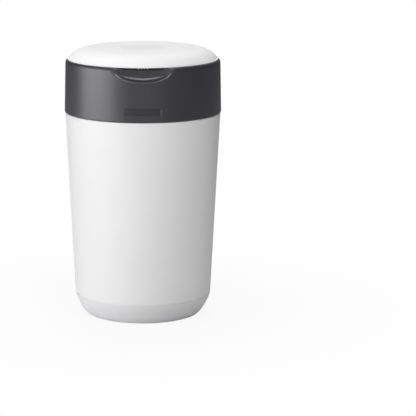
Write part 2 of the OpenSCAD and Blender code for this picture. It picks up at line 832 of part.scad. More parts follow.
module cassette_cover() {
    inner_skirt_r = body_r + seat_gap;
    clip_count = 6;
    clip_turn = 25;
    clip_half_w = 4;
    clip_depth = 0.9;
    color(dark_plastic)
        difference() {
            union() {
                rotate_extrude($fn = round_fn)
                    polygon([[cover_in_r, plate_z - plate_t], [inner_skirt_r, plate_z - plate_t],
                        [inner_skirt_r, plate_z - skirt_h], [cassette_r - 0.6, plate_z - skirt_h],
                        [cassette_r, plate_z - skirt_h + 0.6], [cassette_r, plate_z - 1],
                        [cassette_r - 1, plate_z], [cassette_r - 2.2, plate_z],
                        [cassette_r - 2.6, plate_z - 0.8], [cover_in_r + 1.6, plate_z - 0.8],
                        [cover_in_r + 1.2, plate_z], [cover_in_r, plate_z]]);
                around(lug_count, 45)
                    intersection() {
                        ring(cassette_r - 0.8, lug_r, plate_z - lug_t, plate_z - 0.5);
                        box([0, -lug_w / 2, 0], [2 * lug_r, lug_w / 2, lid_z]);
                    }
            }
            around(clip_count, clip_turn)
                box([cassette_r - clip_depth, -clip_half_w, plate_z - 9],
                    [cassette_r + past, clip_half_w, plate_z - 4.5]);
        }
}

module cassette_film() {
    pleats = 12;
    low_z = cassette_z + cassette_wall + 0.2;
    top_z = plate_z - plate_t - 2;
    color(film_color)
        rotate_extrude($fn = round_fn)
            polygon(concat(
                [[film_in_r, low_z]],
                [[body_r - cassette_wall - 3.2, low_z]],
                [for (i = [1:2 * pleats - 1])
                    [body_r - cassette_wall - (i % 2 == 0 ? 1.4 : 0.5),
                     low_z + 2 + (top_z - low_z - 2) * i / (2 * pleats)]],
                [[body_r - cassette_wall - 1.4, top_z], [film_in_r, top_z]]));
}

module cassette_label() {
    color("#9fc9d2")
        ring(cover_in_r + 2.2, cassette_r - 3.2, plate_z - 0.8, plate_z - 0.5);
}

// ---- gripper and cutter below the cradle ----

module film_gripper() {
    slot_w = 3;
    flare_z = cradle_z - grip_flange_t;
    tip_z = flare_z - finger_drop;
    slot_over = 4;
    color(rubber_color)
        difference() {
            rotate_extrude($fn = round_fn)
                polygon([[grip_flange_in_r, cradle_z], [grip_flange_in_r - 0.5, flare_z - 2],
                    [mouth_r + 2, tip_z + 2], [mouth_r, tip_z],
                    [mouth_r + finger_t, tip_z - 0.6], [mouth_r + finger_t + 2, tip_z + 1.6],
                    [grip_flange_in_r + finger_t - 0.5, flare_z - 2.5],
                    [grip_flange_in_r + finger_t, flare_z],
                    [grip_flange_out_r, flare_z], [grip_flange_out_r, cradle_z]]);
            around(finger_count)
                box([mouth_r - slot_over, -slot_w / 2, tip_z - 5],
                    [grip_flange_in_r + slot_over, slot_w / 2, flare_z - slot_over]);
        }
}

module gripper_clamp() {
    color(slate_plastic)
        difference() {
            rotate_extrude($fn = round_fn)
                polygon([[grip_flange_in_r + finger_t + seat_gap, clamp_z],
                    [clamp_out_r, clamp_z], [clamp_out_r, cradle_z],
                    [grip_flange_out_r + seat_gap, cradle_z],
                    [grip_flange_out_r + seat_gap, cradle_z - grip_flange_t],
                    [grip_flange_in_r + finger_t + seat_gap, cradle_z - grip_flange_t]]);
            around(screw_count, 45)
                translate([clamp_screw_r, 0, clamp_z - past])
                    cylinder(r = clamp_shank_r + 0.3, h = cradle_z - clamp_z + 2 * past, $fn = small_fn);
        }
}

module gripper_screws() {
    color(steel_color)
        around(screw_count, 45)
            translate([clamp_screw_r, 0, 0])
                screw(clamp_z, clamp_shank_r, clamp_t + grip_flange_t + floor_t - 1, 2.6, 1.8);
}

module cutter_guide() {
    color(slate_plastic)
        translate([0, guide_y, 0])
            difference() {
                box([-guide_l / 2, -guide_w / 2, guide_z], [guide_l / 2, guide_w / 2, cradle_z]);
                box([-guide_l / 2 + guide_wall, guide_wall - guide_w / 2, guide_z + guide_lip],
                    [guide_l / 2 - guide_wall, guide_w / 2 - guide_wall, cradle_z - guide_wall]);
                box([-guide_l / 2 + guide_wall, guide_wall + guide_lip - guide_w / 2, guide_z - past],
                    [guide_l / 2 - guide_wall, guide_w / 2 - guide_wall - guide_lip,
                     guide_z + 2 * guide_lip]);
            }
}

module cutter_slider() {
    low_z = guide_z - grip_drop;
    color("#6a6c72")
        translate([slider_rest_x, guide_y, 0])
            difference() {
                union() {
                    box([-slider_l / 2, -slider_w / 2, guide_z + guide_lip + seat_gap],
                        [slider_l / 2, slider_w / 2, cradle_z - guide_wall - seat_gap]);
                    box([-slider_l / 2 + 2, -neck_w / 2 + seat_gap, low_z + 2],
                        [slider_l / 2 - 2, neck_w / 2 - seat_gap, guide_z + guide_lip + 1]);
                    translate([0, 0, low_z])
                        linear_extrude(5)
                            for (x = [-1, 1])
                                translate([x * slider_l / 4, 0])
                                    circle(r = guide_w / 2 - 0.5, $fn = small_fn);
                    translate([-slider_l / 4, -guide_w / 2 + 0.5, low_z])
                        cube([slider_l / 2, guide_w - 1, 5]);
                }
                box([-slider_l / 2 + 4, -guide_w, low_z + 6.5],
                    [slider_l / 2 - 4, guide_w, guide_z - 2]);
                box([-slider_l / 2 + 3, -blade_t / 2 - 0.05, low_z + 4.5],
                    [slider_l / 2 - 3, blade_t / 2 + 0.05, guide_z]);
            }
}

module cutter_blade() {
    half = slider_l / 2 - 3.2;
    low_z = guide_z - grip_drop + 4.6;
    top_z = guide_z - 0.2;
    color(steel_color)
        translate([slider_rest_x, guide_y + blade_t / 2, 0])
            rotate([90, 0, 0])
                linear_extrude(blade_t)
                    polygon([[-half, low_z], [half, low_z], [half, top_z], [half - 1.5, top_z],
                        [-half, low_z + 4]]);
}

// ---- lid ----

module lid_hinge_pin() {
    color(steel_color)
        x_rod(lid_pin_r, lid_knuckle_w + ear_gap + ear_w, lid_pivot_y, lid_pivot_z);
}

module lid_shell() {
    edge_r = lid_r - 0.6;
    inner_edge_r = edge_r - lid_wall;
    rib_step = 4.6;
    post_z = lid_z + liner_t;
    crown_z = lid_z + lid_rise;
    dish_slope = 1.6;
    lip_edge = 0.3;
    hoop_r = liner_r() * 0.4;
    screw_bore_h = 8;
    notch_h = 3.6;
    lid_web_h = 7;
    rib_half_t = 0.6;
    rib_l = 3;
    color(white_plastic) {
        difference() {
            union() {
                difference() {
                    union() {
                        dome_solid(edge_r, lid_z, lid_rise);
                        rotate_extrude($fn = round_fn)
                            polygon([[inner_edge_r - 2, lid_z], [lid_r - lip_edge, lid_z],
                                [lid_r, lid_z + lip_edge], [lid_r, lid_z + lip_h - 0.5],
                                [lid_r - 0.5, lid_z + lip_h], [inner_edge_r - 2, lid_z + lip_h]]);
                    }
                    dome_solid(inner_edge_r, lid_z - hair, lid_rise - lid_wall);
                }
                around(screw_count, 45)
                    translate([liner_screw_r(), 0, post_z])
                        cylinder(r = liner_post_r, h = lid_rise - liner_t - margin, $fn = small_fn);
                ring(hoop_r, hoop_r + hoop_t, post_z, crown_z - margin);
            }
            around(screw_count, 45)
                translate([liner_screw_r(), 0, post_z - past])
                    cylinder(r = liner_shank_r + thread_gap, h = past + screw_bore_h, $fn = small_fn);
            rotate_extrude($fn = round_fn)
                polygon([[0, crown_z - dish_depth], [dish_r - dish_slope, crown_z - dish_depth],
                    [dish_r, crown_z + 0.1], [dish_r, crown_z + past], [0, crown_z + past]]);
            box([-lid_notch_w, lid_notch_y + seat_gap, lid_z - past],
                [lid_notch_w, collar_r, lid_z + notch_h]);
        }
        difference() {
            union() {
                x_rod(lid_barrel_r, lid_knuckle_w, lid_pivot_y, lid_pivot_z);
                intersection() {
                    dome_solid(edge_r, lid_z, lid_rise);
                    box([-lid_knuckle_w, lid_pivot_y - lid_barrel_r, lid_z],
                        [lid_knuckle_w, lid_pivot_y + 3, lid_z + lid_web_h]);
                }
            }
            x_rod(lid_pin_r + pin_gap, lid_knuckle_w + past, lid_pivot_y, lid_pivot_z);
        }
        for (i = [0:rib_count - 1])
            translate([(i - (rib_count - 1) / 2) * rib_step, 0, 0])
                box([-rib_half_t, -edge_r, lid_z - 1.4], [rib_half_t, -edge_r + rib_l, lid_z + 0.5]);
    }
}

// Radius of the lid's inner panel, clear of the hinge
function liner_r() = lid_notch_y;

// Radius of the circle that the inner panel's screws stand on
function liner_screw_r() = liner_r() * 0.72;

module lid_liner() {
    hoop_r = liner_r() * 0.55;
    hoop_h = 4;
    color(base_white)
        difference() {
            union() {
                ring(0, liner_r(), lid_z, lid_z + liner_t);
                ring(hoop_r, hoop_r + hoop_t, lid_z + liner_t - 0.5, lid_z + liner_t + hoop_h);
            }
            around(screw_count, 45)
                translate([liner_screw_r(), 0, lid_z - past])
                    cylinder(r = liner_shank_r + seat_gap, h = liner_t + 2 * past, $fn = small_fn);
        }
}

module lid_seal() {
    seal_in_r = lip_in_r + 0.4;
    seal_w = liner_r() - seal_in_r - 0.2;
    color(rubber_color)
        rotate_extrude($fn = round_fn)
            polygon([[seal_in_r, lid_z], [seal_in_r + seal_w * 0.3, ledge_z + seat_gap],
                [seal_in_r + seal_w * 0.7, ledge_z + seat_gap], [seal_in_r + seal_w, lid_z]]);
}

module liner_screws() {
    color(steel_color)
        around(screw_count, 45)
            translate([liner_screw_r(), 0, 0])
                screw(lid_z, liner_shank_r, liner_t + liner_bite, 2 * liner_shank_r, 1.6);
}

base_shell();
base_pads();
tub();
tub_rim();
head_hinge_pin();
head_collar();
cassette_cradle();
ring_retainer();
head_screws();
front_catch();
click_pawl_left();
click_pawl_right();
pawl_pins();
twist_ring();
cassette_body();
cassette_core();
cassette_cover();
cassette_film();
cassette_label();
film_gripper();
gripper_clamp();
gripper_screws();
cutter_guide();
cutter_slider();
cutter_blade();
lid_hinge_pin();
lid_shell();
lid_liner();
lid_seal();
liner_screws();
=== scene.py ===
"""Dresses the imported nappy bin: its moulded shells, hinges, twist mechanism and film cassette.

Every length that describes the object is written in millimetres and turned to metres where a
mesh is made. The object stands on z = 0, its front faces -Y, and its hinges are at +Y.
"""
from __future__ import annotations

import logging
import math
from dataclasses import dataclass
from enum import Enum
from typing import Callable, Optional, Sequence

import bmesh
import bpy
import numpy as np
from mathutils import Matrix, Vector


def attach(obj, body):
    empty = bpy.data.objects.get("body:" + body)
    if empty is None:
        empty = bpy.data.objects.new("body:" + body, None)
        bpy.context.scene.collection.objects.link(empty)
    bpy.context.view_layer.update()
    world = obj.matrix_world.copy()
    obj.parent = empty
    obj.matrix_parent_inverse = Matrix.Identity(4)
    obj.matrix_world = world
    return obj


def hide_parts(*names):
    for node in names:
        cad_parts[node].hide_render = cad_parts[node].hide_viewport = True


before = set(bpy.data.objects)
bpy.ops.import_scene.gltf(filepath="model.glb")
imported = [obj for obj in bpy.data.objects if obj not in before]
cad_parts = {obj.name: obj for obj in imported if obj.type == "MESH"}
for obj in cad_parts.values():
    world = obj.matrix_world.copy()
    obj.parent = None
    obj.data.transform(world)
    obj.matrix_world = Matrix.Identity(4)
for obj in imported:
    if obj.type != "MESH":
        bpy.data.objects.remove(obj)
MM = 0.001
TINY = 1e-6  # keeps divisions and roots away from 0
MERGE_M = 2e-6  # points closer than this, in metres, are one
MADE_SHARP_DEG = 32.0  # edges of built pieces that bend by more than this shade sharp
COPY_SHARP_DEG = 28.0  # edges of CAD copies that bend by more are rounded and shade sharp
END_CHORDS = 3  # chords of the rounding at a prism's ends
NOTCH_FADE = 0.2  # how far inside its edge a notch is at full depth, in millimetres
LOG = logging.getLogger("nappy_bin")
Array = np.ndarray
Field = Callable[[Array], Array]
Tree = bpy.types.NodeTree
Socket = bpy.types.NodeSocket
Material = bpy.types.Material
Piece = bpy.types.Object


class Body(Enum):
    """The moving bodies of the object."""

    BIN = "bin"
    HEAD = "head"
    LID = "lid"
    RING = "turning_ring"
    PAWL_LEFT = "pawl_left"
    PAWL_RIGHT = "pawl_right"
    CUTTER = "cutter"


# ---------------------------------------------------------------- colour and nodes


def linear(hex_colour: str) -> tuple[float, float, float, float]:
    """Turns an sRGB hex colour into linear RGBA.

    Args:
        hex_colour: six hex digits after a hash.

    Returns:
        The linear colour with an alpha of 1.
    """
    parts = [int(hex_colour[i:i + 2], 16) / 255 for i in (1, 3, 5)]
    straight = [p / 12.92 if p <= 0.04045 else ((p + 0.055) / 1.055) ** 2.4 for p in parts]
    return (*straight, 1.0)


def add_node(tree: Tree, kind: str, inputs: Optional[dict] = None, **settings) -> bpy.types.Node:
    """Adds a node, sets its properties and its inputs.

    Args:
        tree: the node tree that gets the node.
        kind: the node's type name after its common prefix.
        inputs: input name or index to a value, or to the output socket that feeds it.
        **settings: properties of the node itself.

    Returns:
        The new node.
    """
    node = tree.nodes.new("ShaderNode" + kind)
    for name, value in settings.items():
        setattr(node, name, value)
    for key, value in (inputs or {}).items():
        if isinstance(value, Socket):
            tree.links.new(value, node.inputs[key])
        else:
            node.inputs[key].default_value = value
    return node


def new_material(name: str) -> tuple[Material, Tree, Socket]:
    """Makes an empty node material.

    Args:
        name: the material's name.

    Returns:
        The material, its tree and the output of the object's own coordinates, in metres.
    """
    material = bpy.data.materials.new(name)
    material.use_nodes = True
    tree = material.node_tree
    tree.nodes.clear()
    place = add_node(tree, "TexCoord")
    return material, tree, place.outputs["Object"]


def noise(tree: Tree, place: Socket, size_mm: float, detail: float, roughness: float = 0.5) -> Socket:
    """Adds noise with features of this size and returns its value."""
    return add_node(tree, "TexNoise", {"Vector": place, "Scale": 1 / (size_mm * MM), "Detail": detail,
                                       "Roughness": roughness}).outputs["Fac"]


def gloss(tree: Tree, value: Socket, middle: float, spread: float, low: float = 0.0,
          high: float = 1.0) -> Socket:
    """Spreads a value that runs from low to high into a roughness round its middle."""
    spread_out = add_node(tree, "MapRange", {"Value": value, "From Min": low, "From Max": high,
                                             "To Min": middle - spread, "To Max": middle + spread})
    return spread_out.outputs["Result"]


def mixed_tone(tree: Tree, share: Socket, low: object, high: object) -> Socket:
    """Mixes two colours by a share and returns the mixed colour."""
    return add_node(tree, "Mix", {0: share, 6: low, 7: high}, data_type="RGBA").outputs[2]


def bump_normal(tree: Tree, height: Socket, deep_mm: float) -> Socket:
    """Turns a height into a bump this many millimetres deep and returns its normal."""
    return add_node(tree, "Bump", {"Height": height, "Strength": 1.0,
                                   "Distance": deep_mm * MM}).outputs["Normal"]


def finish_material(material: Material, inputs: dict) -> Material:
    """Ends a material in a principled shader with these inputs, and returns it."""
    shader = add_node(material.node_tree, "BsdfPrincipled", inputs)
    add_node(material.node_tree, "OutputMaterial", {"Surface": shader.outputs["BSDF"]})
    return material


@dataclass(frozen=True)
class MouldedPlastic:
    """An injection-moulded thermoplastic with a spark-eroded grain from its mould."""

    name: str
    colour: str
    shade: str
    roughness: float
    grain_mm: float = 0.9
    grain_depth_mm: float = 0.012
    cloud_mm: float = 45.0
    roughness_spread: float = 0.05
    ior: float = 1.49
    specular: float = 0.5

    def build(self) -> Material:
        """Builds the material: grain bump, soft clouding of colour, uneven gloss."""
        material, tree, place = new_material(self.name)
        cloud = noise(tree, place, self.cloud_mm, 3.0, 0.55)
        grain = noise(tree, place, self.grain_mm, 2.0, 0.6)
        return finish_material(material, {
            "Base Color": mixed_tone(tree, cloud, linear(self.shade), linear(self.colour)),
            "Roughness": gloss(tree, grain, self.roughness, self.roughness_spread, 0.3, 0.7),
            "Normal": bump_normal(tree, grain, self.grain_depth_mm),
            "IOR": self.ior, "Specular IOR Level": self.specular})


@dataclass(frozen=True)
class PlatedSteel:
    """Turned or stamped steel with a bright zinc coat and fine lathe lines."""

    name: str
    colour: str
    roughness: float
    line_mm: float = 0.35
    line_depth_mm: float = 0.01
    patch: str = "#d6d6d2"
    patch_mm: float = 6.0
    roughness_spread: float = 0.08

    def build(self) -> Material:
        """Builds the material: fine turned lines and patches of passivated tone."""
        material, tree, place = new_material(self.name)
        stretch = add_node(tree, "Mapping", {"Vector": place, "Scale": (0.15, 1.0, 1.0)})
        lines = noise(tree, stretch.outputs["Vector"], self.line_mm, 2.0)
        patches = noise(tree, place, self.patch_mm, 2.0)
        return finish_material(material, {
            "Base Color": mixed_tone(tree, patches, linear(self.colour), linear(self.patch)),
            "Roughness": gloss(tree, lines, self.roughness, self.roughness_spread),
            "Normal": bump_normal(tree, lines, self.line_depth_mm), "Metallic": 1.0})


@dataclass(frozen=True)
class PleatedFilm:
    """Blown polythene film packed in tight pleats round the cassette."""

    name: str
    colour: str
    light: str = "#f3fafb"
    fold_mm: float = 1.6
    fold_depth_mm: float = 0.25
    crumple_mm: float = 9.0

    def build(self) -> Material:
        """Builds the material: bands of folds up the pack, milky and slightly glossy."""
        material, tree, place = new_material(self.name)
        crumple = noise(tree, place, self.crumple_mm, 3.0)
        folds = add_node(tree, "TexWave", {"Vector": place, "Scale": 0.16 / (self.fold_mm * MM),
                                           "Distortion": 1.5, "Detail": 2.0},
                         wave_type="BANDS", bands_direction="Z")
        return finish_material(material, {
            "Base Color": mixed_tone(tree, crumple, linear(self.colour), linear(self.light)),
            "Roughness": 0.34, "Normal": bump_normal(tree, folds.outputs["Fac"], self.fold_depth_mm),
            "IOR": 1.51, "Subsurface Weight": 0.15, "Subsurface Scale": 3 * MM})


@dataclass(frozen=True)
class PrintedRing:
    """Gloss paper ring with a plain print of round spots in teal, ice blue and grey."""

    name: str
    ground: str = "#c9d3d8"
    spot_a: str = "#5fa7b4"
    spot_b: str = "#dff0f2"
    spot_c: str = "#6f737b"
    spot_mm: float = 11.0

    def build(self) -> Material:
        """Builds the material: spots of three inks, each at its own place in a loose grid."""
        material, tree, place = new_material(self.name)
        cells = add_node(tree, "TexVoronoi", {"Vector": place, "Scale": 1 / (self.spot_mm * MM),
                                                        "Randomness": 0.75}, feature="F1",
                         voronoi_dimensions="2D")
        inks = add_node(tree, "ValToRGB", {"Fac": cells.outputs["Color"]})
        inks.color_ramp.interpolation = "CONSTANT"
        stops = inks.color_ramp.elements
        stops[0].position, stops[0].color = 0.0, linear(self.spot_a)
        stops[1].position, stops[1].color = 0.36, linear(self.spot_b)
        last = stops.new(0.68)
        last.color = linear(self.spot_c)
        inside = add_node(tree, "Math", {0: cells.outputs["Distance"], 1: 0.4}, operation="LESS_THAN")
        tone = mixed_tone(tree, inside.outputs[0], linear(self.ground), inks.outputs["Color"])
        return finish_material(material, {"Base Color": tone, "Roughness": 0.3, "Coat Weight": 0.3})


class Finishes:
    """Every finish of the object, built once each."""

    def __init__(self) -> None:
        """Builds the materials."""
        # Polypropylene, injection-moulded in a fine spark-eroded mould: even white with a soft sheen
        self.tub = MouldedPlastic("polypropylene_white_satin", "#ebebeb", "#e8e8e9", 0.46,
                                  grain_depth_mm=0.006, specular=0.25).build()
        # The same plastic from a finer mould: a shallower grain and a softer sheen on the lid
        self.lid = MouldedPlastic("polypropylene_white_lid", "#e6e6e6", "#e4e4e4", 0.60,
                                  grain_depth_mm=0.004, specular=0.2).build()
        # The lid's plastic with a deeper grain, a shade greyer, for the disc in the lid's dish
        self.disc = MouldedPlastic("polypropylene_pale_grey_disc", "#e2e2e3", "#dededf", 0.52,
                                   grain_depth_mm=0.012, specular=0.25).build()
        # Polypropylene with a cooler, slightly grey tint for the base and the lid's inner panel
        self.base = MouldedPlastic("polypropylene_cool_grey_white", "#e8e8e9", "#e5e5e7", 0.48,
                                   grain_depth_mm=0.006, specular=0.25).build()
        # ABS in slate grey with a satin grain: a broad soft highlight and no sharp reflections
        self.slate = MouldedPlastic("abs_slate_satin", "#2c2c32", "#2a2a2f", 0.40,
                                    grain_depth_mm=0.010, ior=1.57, specular=0.75).build()
        # ABS in slate grey, finer and smoother, for the pieces under the lid
        self.slate_inner = MouldedPlastic("abs_slate_smooth", "#3b3c41", "#37383c", 0.36,
                                          grain_depth_mm=0.006, ior=1.57).build()
        # Polypropylene dyed near black, for the cassette: satin with visible flow clouding
        self.cassette = MouldedPlastic("polypropylene_charcoal", "#2e2f33", "#28292c", 0.36,
                                       cloud_mm=20.0, grain_depth_mm=0.006).build()
        # ABS near black with a fine grain, for the bare label plate
        self.inlay = MouldedPlastic("abs_black_fine_grain", "#29292d", "#262629", 0.46,
                                    grain_depth_mm=0.008, ior=1.53, specular=0.55).build()
        # Acetal in black, self-lubricating and smooth, for the pawls
        self.acetal = MouldedPlastic("acetal_black", "#1d1e20", "#191a1b", 0.28, ior=1.48).build()
        # ABS in mid grey for the cutter's finger grip
        self.grip = MouldedPlastic("abs_mid_grey", "#73757b", "#6c6e75", 0.42, ior=1.53).build()
        # Thermoplastic rubber, moulded matt: dark, with no highlight
        self.rubber = MouldedPlastic("thermoplastic_rubber_matt", "#2f3032", "#292a2c", 0.72,
                                     grain_mm=1.2, grain_depth_mm=0.03, ior=1.5).build()
        # Turned steel with a bright zinc coat
        self.steel = PlatedSteel("steel_zinc_plated", "#b7babd", 0.30).build()
        # Ground and honed carbon steel of the cutter's blade
        self.blade = PlatedSteel("steel_honed_blade", "#c9cbce", 0.18, line_mm=0.2).build()
        # Blown polythene, packed in pleats
        self.film = PleatedFilm("polythene_film_pleated", "#cfe6ea").build()
        # Gloss-varnished print on the cassette
        self.print = PrintedRing("varnished_print").build()


# ---------------------------------------------------------------- shapes


def rounded_path(points: Sequence[tuple[float, float, float]], steps: int = 5, hold: float = 0.35) -> Array:
    """Rounds the corners of a closed outline.

    Each corner (x, y, radius) is replaced by a circular arc that touches both its sides, and a
    point is held on each side just outside the arc, so that flat sides shade flat.

    Args:
        points: corners in order, each with its rounding radius; a radius of 0 keeps the point.
        steps: chords per arc.
        hold: distance from the arc to the held point, in millimetres.

    Returns:
        The rounded outline, one row per point.
    """
    corner = np.array([p[:2] for p in points], float)
    radius = np.array([p[2] for p in points], float)
    made = []
    for here, back, ahead, r in zip(corner, np.roll(corner, 1, 0), np.roll(corner, -1, 0), radius):
        to_back, to_ahead = back - here, ahead - here
        len_back, len_ahead = np.linalg.norm(to_back), np.linalg.norm(to_ahead)
        if r <= 0 or min(len_back, len_ahead) < 1e-6:
            made.append(here[None])
            continue
        unit_back, unit_ahead = to_back / len_back, to_ahead / len_ahead
        half = math.acos(np.clip(unit_back @ unit_ahead, -1, 1)) / 2
        if half > math.radians(89):
            made.append(here[None])
            continue
        reach = min(r / math.tan(half), 0.45 * len_back, 0.45 * len_ahead)
        r = reach * math.tan(half)
        middle = unit_back + unit_ahead
        centre = here + middle / np.linalg.norm(middle) * (r / math.sin(half))
        start, end = here + unit_back * reach - centre, here + unit_ahead * reach - centre
        a0 = math.atan2(start[1], start[0])
        turn = (math.atan2(end[1], end[0]) - a0 + math.pi) % (2 * math.pi) - math.pi
        a = a0 + turn * np.linspace(0, 1, steps + 1)
        arc = centre + r * np.stack([np.cos(a), np.sin(a)], 1)
        before = here + unit_back * min(reach + hold, 0.49 * len_back)
        after = here + unit_ahead * min(reach + hold, 0.49 * len_ahead)
        made.append(np.vstack([before, arc, after]))
    return np.vstack(made)


def densified(path: Array, step: Field, closed: bool = True) -> Array:
    """Halves an outline's sides until none is longer than wanted.

    Args:
        path: the outline, one row per point.
        step: gives the longest side wanted near each of a row of points.
        closed: whether the outline returns to its start.

    Returns:
        The outline with more points on its sides.
    """
    for _ in range(12):
        ahead = np.roll(path, -1, 0)
        middle = (path + ahead) / 2
        long = np.linalg.norm(ahead - path, axis=1) > step(middle)
        if not closed:
            long[-1] = False
        if not long.any():
            break
        path = np.insert(path, np.flatnonzero(long) + 1, middle[long], axis=0)
    return path


def turn_angles(around: int, dense: Sequence[tuple[float, float, int]] = ()) -> Array:
    """Angles round the axis, evenly spaced apart from the stretches that need more.

    Args:
        around: number of even steps in a full turn.
        dense: stretches (middle, half width, steps), in degrees.

    Returns:
        Sorted angles in radians, from 0 to just under a full turn.
    """
    even = np.arange(around) * 360 / around
    keep = np.ones(around, bool)
    extra = []
    for middle, half, steps in dense:
        keep &= np.abs((even - middle + 180) % 360 - 180) > half
        extra.append(middle + np.linspace(-half, half, steps + 1))
    return np.radians(np.sort(np.concatenate([even[keep], *extra]) % 360))


def edge_deg(half: float, radius: float) -> float:
    """Angle in degrees from the middle of a cut of this half width to its edge."""
    return math.degrees(math.asin(half / radius))


def notch_edges(edge: float, half: float, steps: int) -> list[tuple[float, float, int]]:
    """Dense stretches of angles at both edges of a notch at the back."""
    return [(90 - edge, half, steps), (90 + edge, half, steps)]


def even_step(length: float) -> Field:
    """Field that asks for the same spacing everywhere."""
    return lambda path: np.full(len(path), length)


def circle_outline(first: float, second: float, radius: float, steps: int) -> Array:
    """Points round a circle in two coordinates, anticlockwise, steps of them."""
    a = np.linspace(0, 2 * math.pi, steps + 1)[:-1]
    return np.stack([first + radius * np.cos(a), second + radius * np.sin(a)], 1)


def add_object(name: str, data: bpy.types.ID) -> Piece:
    """Links a mesh, lamp or camera to the scene as an object."""
    made = bpy.data.objects.new(name, data)
    bpy.context.scene.collection.objects.link(made)
    return made


def add_shaded(name: str, mesh: bpy.types.Mesh, sharp_deg: float) -> Piece:
    """Links a mesh that shades smooth, with edges that bend by more than sharp_deg sharp."""
    mesh.polygons.foreach_set("use_smooth", np.ones(len(mesh.polygons), bool))
    mesh.set_sharp_from_angle(angle=math.radians(sharp_deg))
    return add_object(name, mesh)


def grid_mesh(name: str, points: Array, close_rows: bool, close_cols: bool) -> Piece:
    """Makes a mesh object from a grid of points in millimetres.

    Args:
        name: the object's name.
        points: rows by columns by 3.
        close_rows: whether the last row joins the first.
        close_cols: whether the last column joins the first.

    Returns:
        The object, its doubled points merged and its faces pointing outwards.
    """
    rows, cols = points.shape[:2]
    index = np.arange(rows * cols).reshape(rows, cols)
    if close_rows:
        index = np.vstack([index, index[:1]])
    if close_cols:
        index = np.hstack([index, index[:, :1]])
    quads = np.stack([index[:-1, :-1], index[:-1, 1:], index[1:, 1:], index[1:, :-1]], -1).reshape(-1, 4)
    mesh = bpy.data.meshes.new(name)
    mesh.vertices.add(rows * cols)
    mesh.vertices.foreach_set("co", (points * MM).astype(np.float32).ravel())
    mesh.loops.add(quads.size)
    mesh.loops.foreach_set("vertex_index", quads.astype(np.int32).ravel())
    mesh.polygons.add(len(quads))
    mesh.polygons.foreach_set("loop_start", np.arange(0, quads.size, 4, dtype=np.int32))
    mesh.update(calc_edges=True)
    tidy = bmesh.new()
    tidy.from_mesh(mesh)
    bmesh.ops.remove_doubles(tidy, verts=tidy.verts, dist=MERGE_M)
    bmesh.ops.dissolve_degenerate(tidy, edges=tidy.edges, dist=TINY)
    bmesh.ops.recalc_face_normals(tidy, faces=tidy.faces)
    tidy.to_mesh(mesh)
    tidy.free()
    return add_shaded(name, mesh, MADE_SHARP_DEG)


def ring_of(name: str, profile: Array, steps: int, count: int, circle_r: float,
            first_deg: float) -> list[Piece]:
    """Turned forms spaced evenly on a circle round the Z axis, the first at first_deg."""
    made = []
    for i in range(count):
        turn = math.radians(first_deg + 360 * i / count)
        shift = np.array([math.cos(turn) * circle_r, math.sin(turn) * circle_r, 0])
        made.append(revolved(name, profile, turn_angles(steps), lambda p, s=shift: p + s, closed=False))
    return made


def revolved(name: str, profile: Array, angles: Array, shape: Optional[Field] = None,
             closed: bool = True) -> Piece:
    """Carries a profile round the Z axis.

    The point at profile row (r, z) and angle a is (r cos a, r sin a, z); shape may then move the
    whole grid of points at once.

    Args:
        name: the object's name.
        profile: rows of (radius, height).
        angles: the angles of the columns, in radians.
        shape: moves the grid of points, or None.
        closed: whether the profile is a loop; an open one starts and ends on the axis.

    Returns:
        The object.
    """
    r, z = profile[:, :1], profile[:, 1:]
    points = np.stack([r * np.cos(angles), r * np.sin(angles), np.broadcast_to(z, (len(r), len(angles)))], -1)
    if shape is not None:
        points = shape(points)
    return grid_mesh(name, points, closed, True)


def joined(name: str, parts: Sequence[Piece]) -> Piece:
    """Joins several closed forms into one piece.

    Args:
        name: the joined object's name.
        parts: the objects; all but the first are removed.

    Returns:
        The first object, holding every mesh.
    """
    gathered = bmesh.new()
    for part in parts:
        gathered.from_mesh(part.data)
    whole = parts[0]
    gathered.to_mesh(whole.data)
    gathered.free()
    for part in parts[1:]:
        bpy.data.objects.remove(part)
    whole.name = name
    return whole


def prism(name: str, outline: Array, start: float, end: float, edge: float) -> Piece:
    """Carries an outline along X and rounds both its ends.

    Section s is the outline drawn in by edge times (1 - sin a) and set in from the end by edge
    times (1 - cos a), with a from 0 to a quarter turn; the ends close on their middle point.

    Args:
        name: the object's name.
        outline: rows of (y, z).
        start: where the piece starts in X.
        end: where it ends.
        edge: rounding of the two ends.

    Returns:
        The object.
    """
    middle = outline.mean(0)
    ahead, back = np.roll(outline, -1, 0) - outline, outline - np.roll(outline, 1, 0)
    tangent = sum(side / np.linalg.norm(side, axis=1, keepdims=True) for side in (ahead, back))
    normal = np.stack([tangent[:, 1], -tangent[:, 0]], 1)
    normal /= np.linalg.norm(normal, axis=1, keepdims=True)
    if np.sum(np.cross(outline, np.roll(outline, -1, 0))) < 0:
        normal = -normal
    a = np.linspace(0, math.pi / 2, END_CHORDS + 1)
    inset = edge * (1 - np.sin(a))
    depth = edge * (1 - np.cos(a))
    along = np.concatenate([[start], start + depth, end - depth[::-1], [end]])
    shrink = np.concatenate([[-1], inset, inset[::-1], [-1]])
    rings = np.where(shrink[:, None, None] < 0, np.broadcast_to(middle, (1, len(outline), 2)),
                     outline[None] - normal[None] * shrink[:, None, None])
    rings = np.concatenate([rings, np.broadcast_to(along[:, None, None], (len(along), len(outline), 1))], 2)
    return grid_mesh(name, rings[:, :, [2, 0, 1]], False, True)


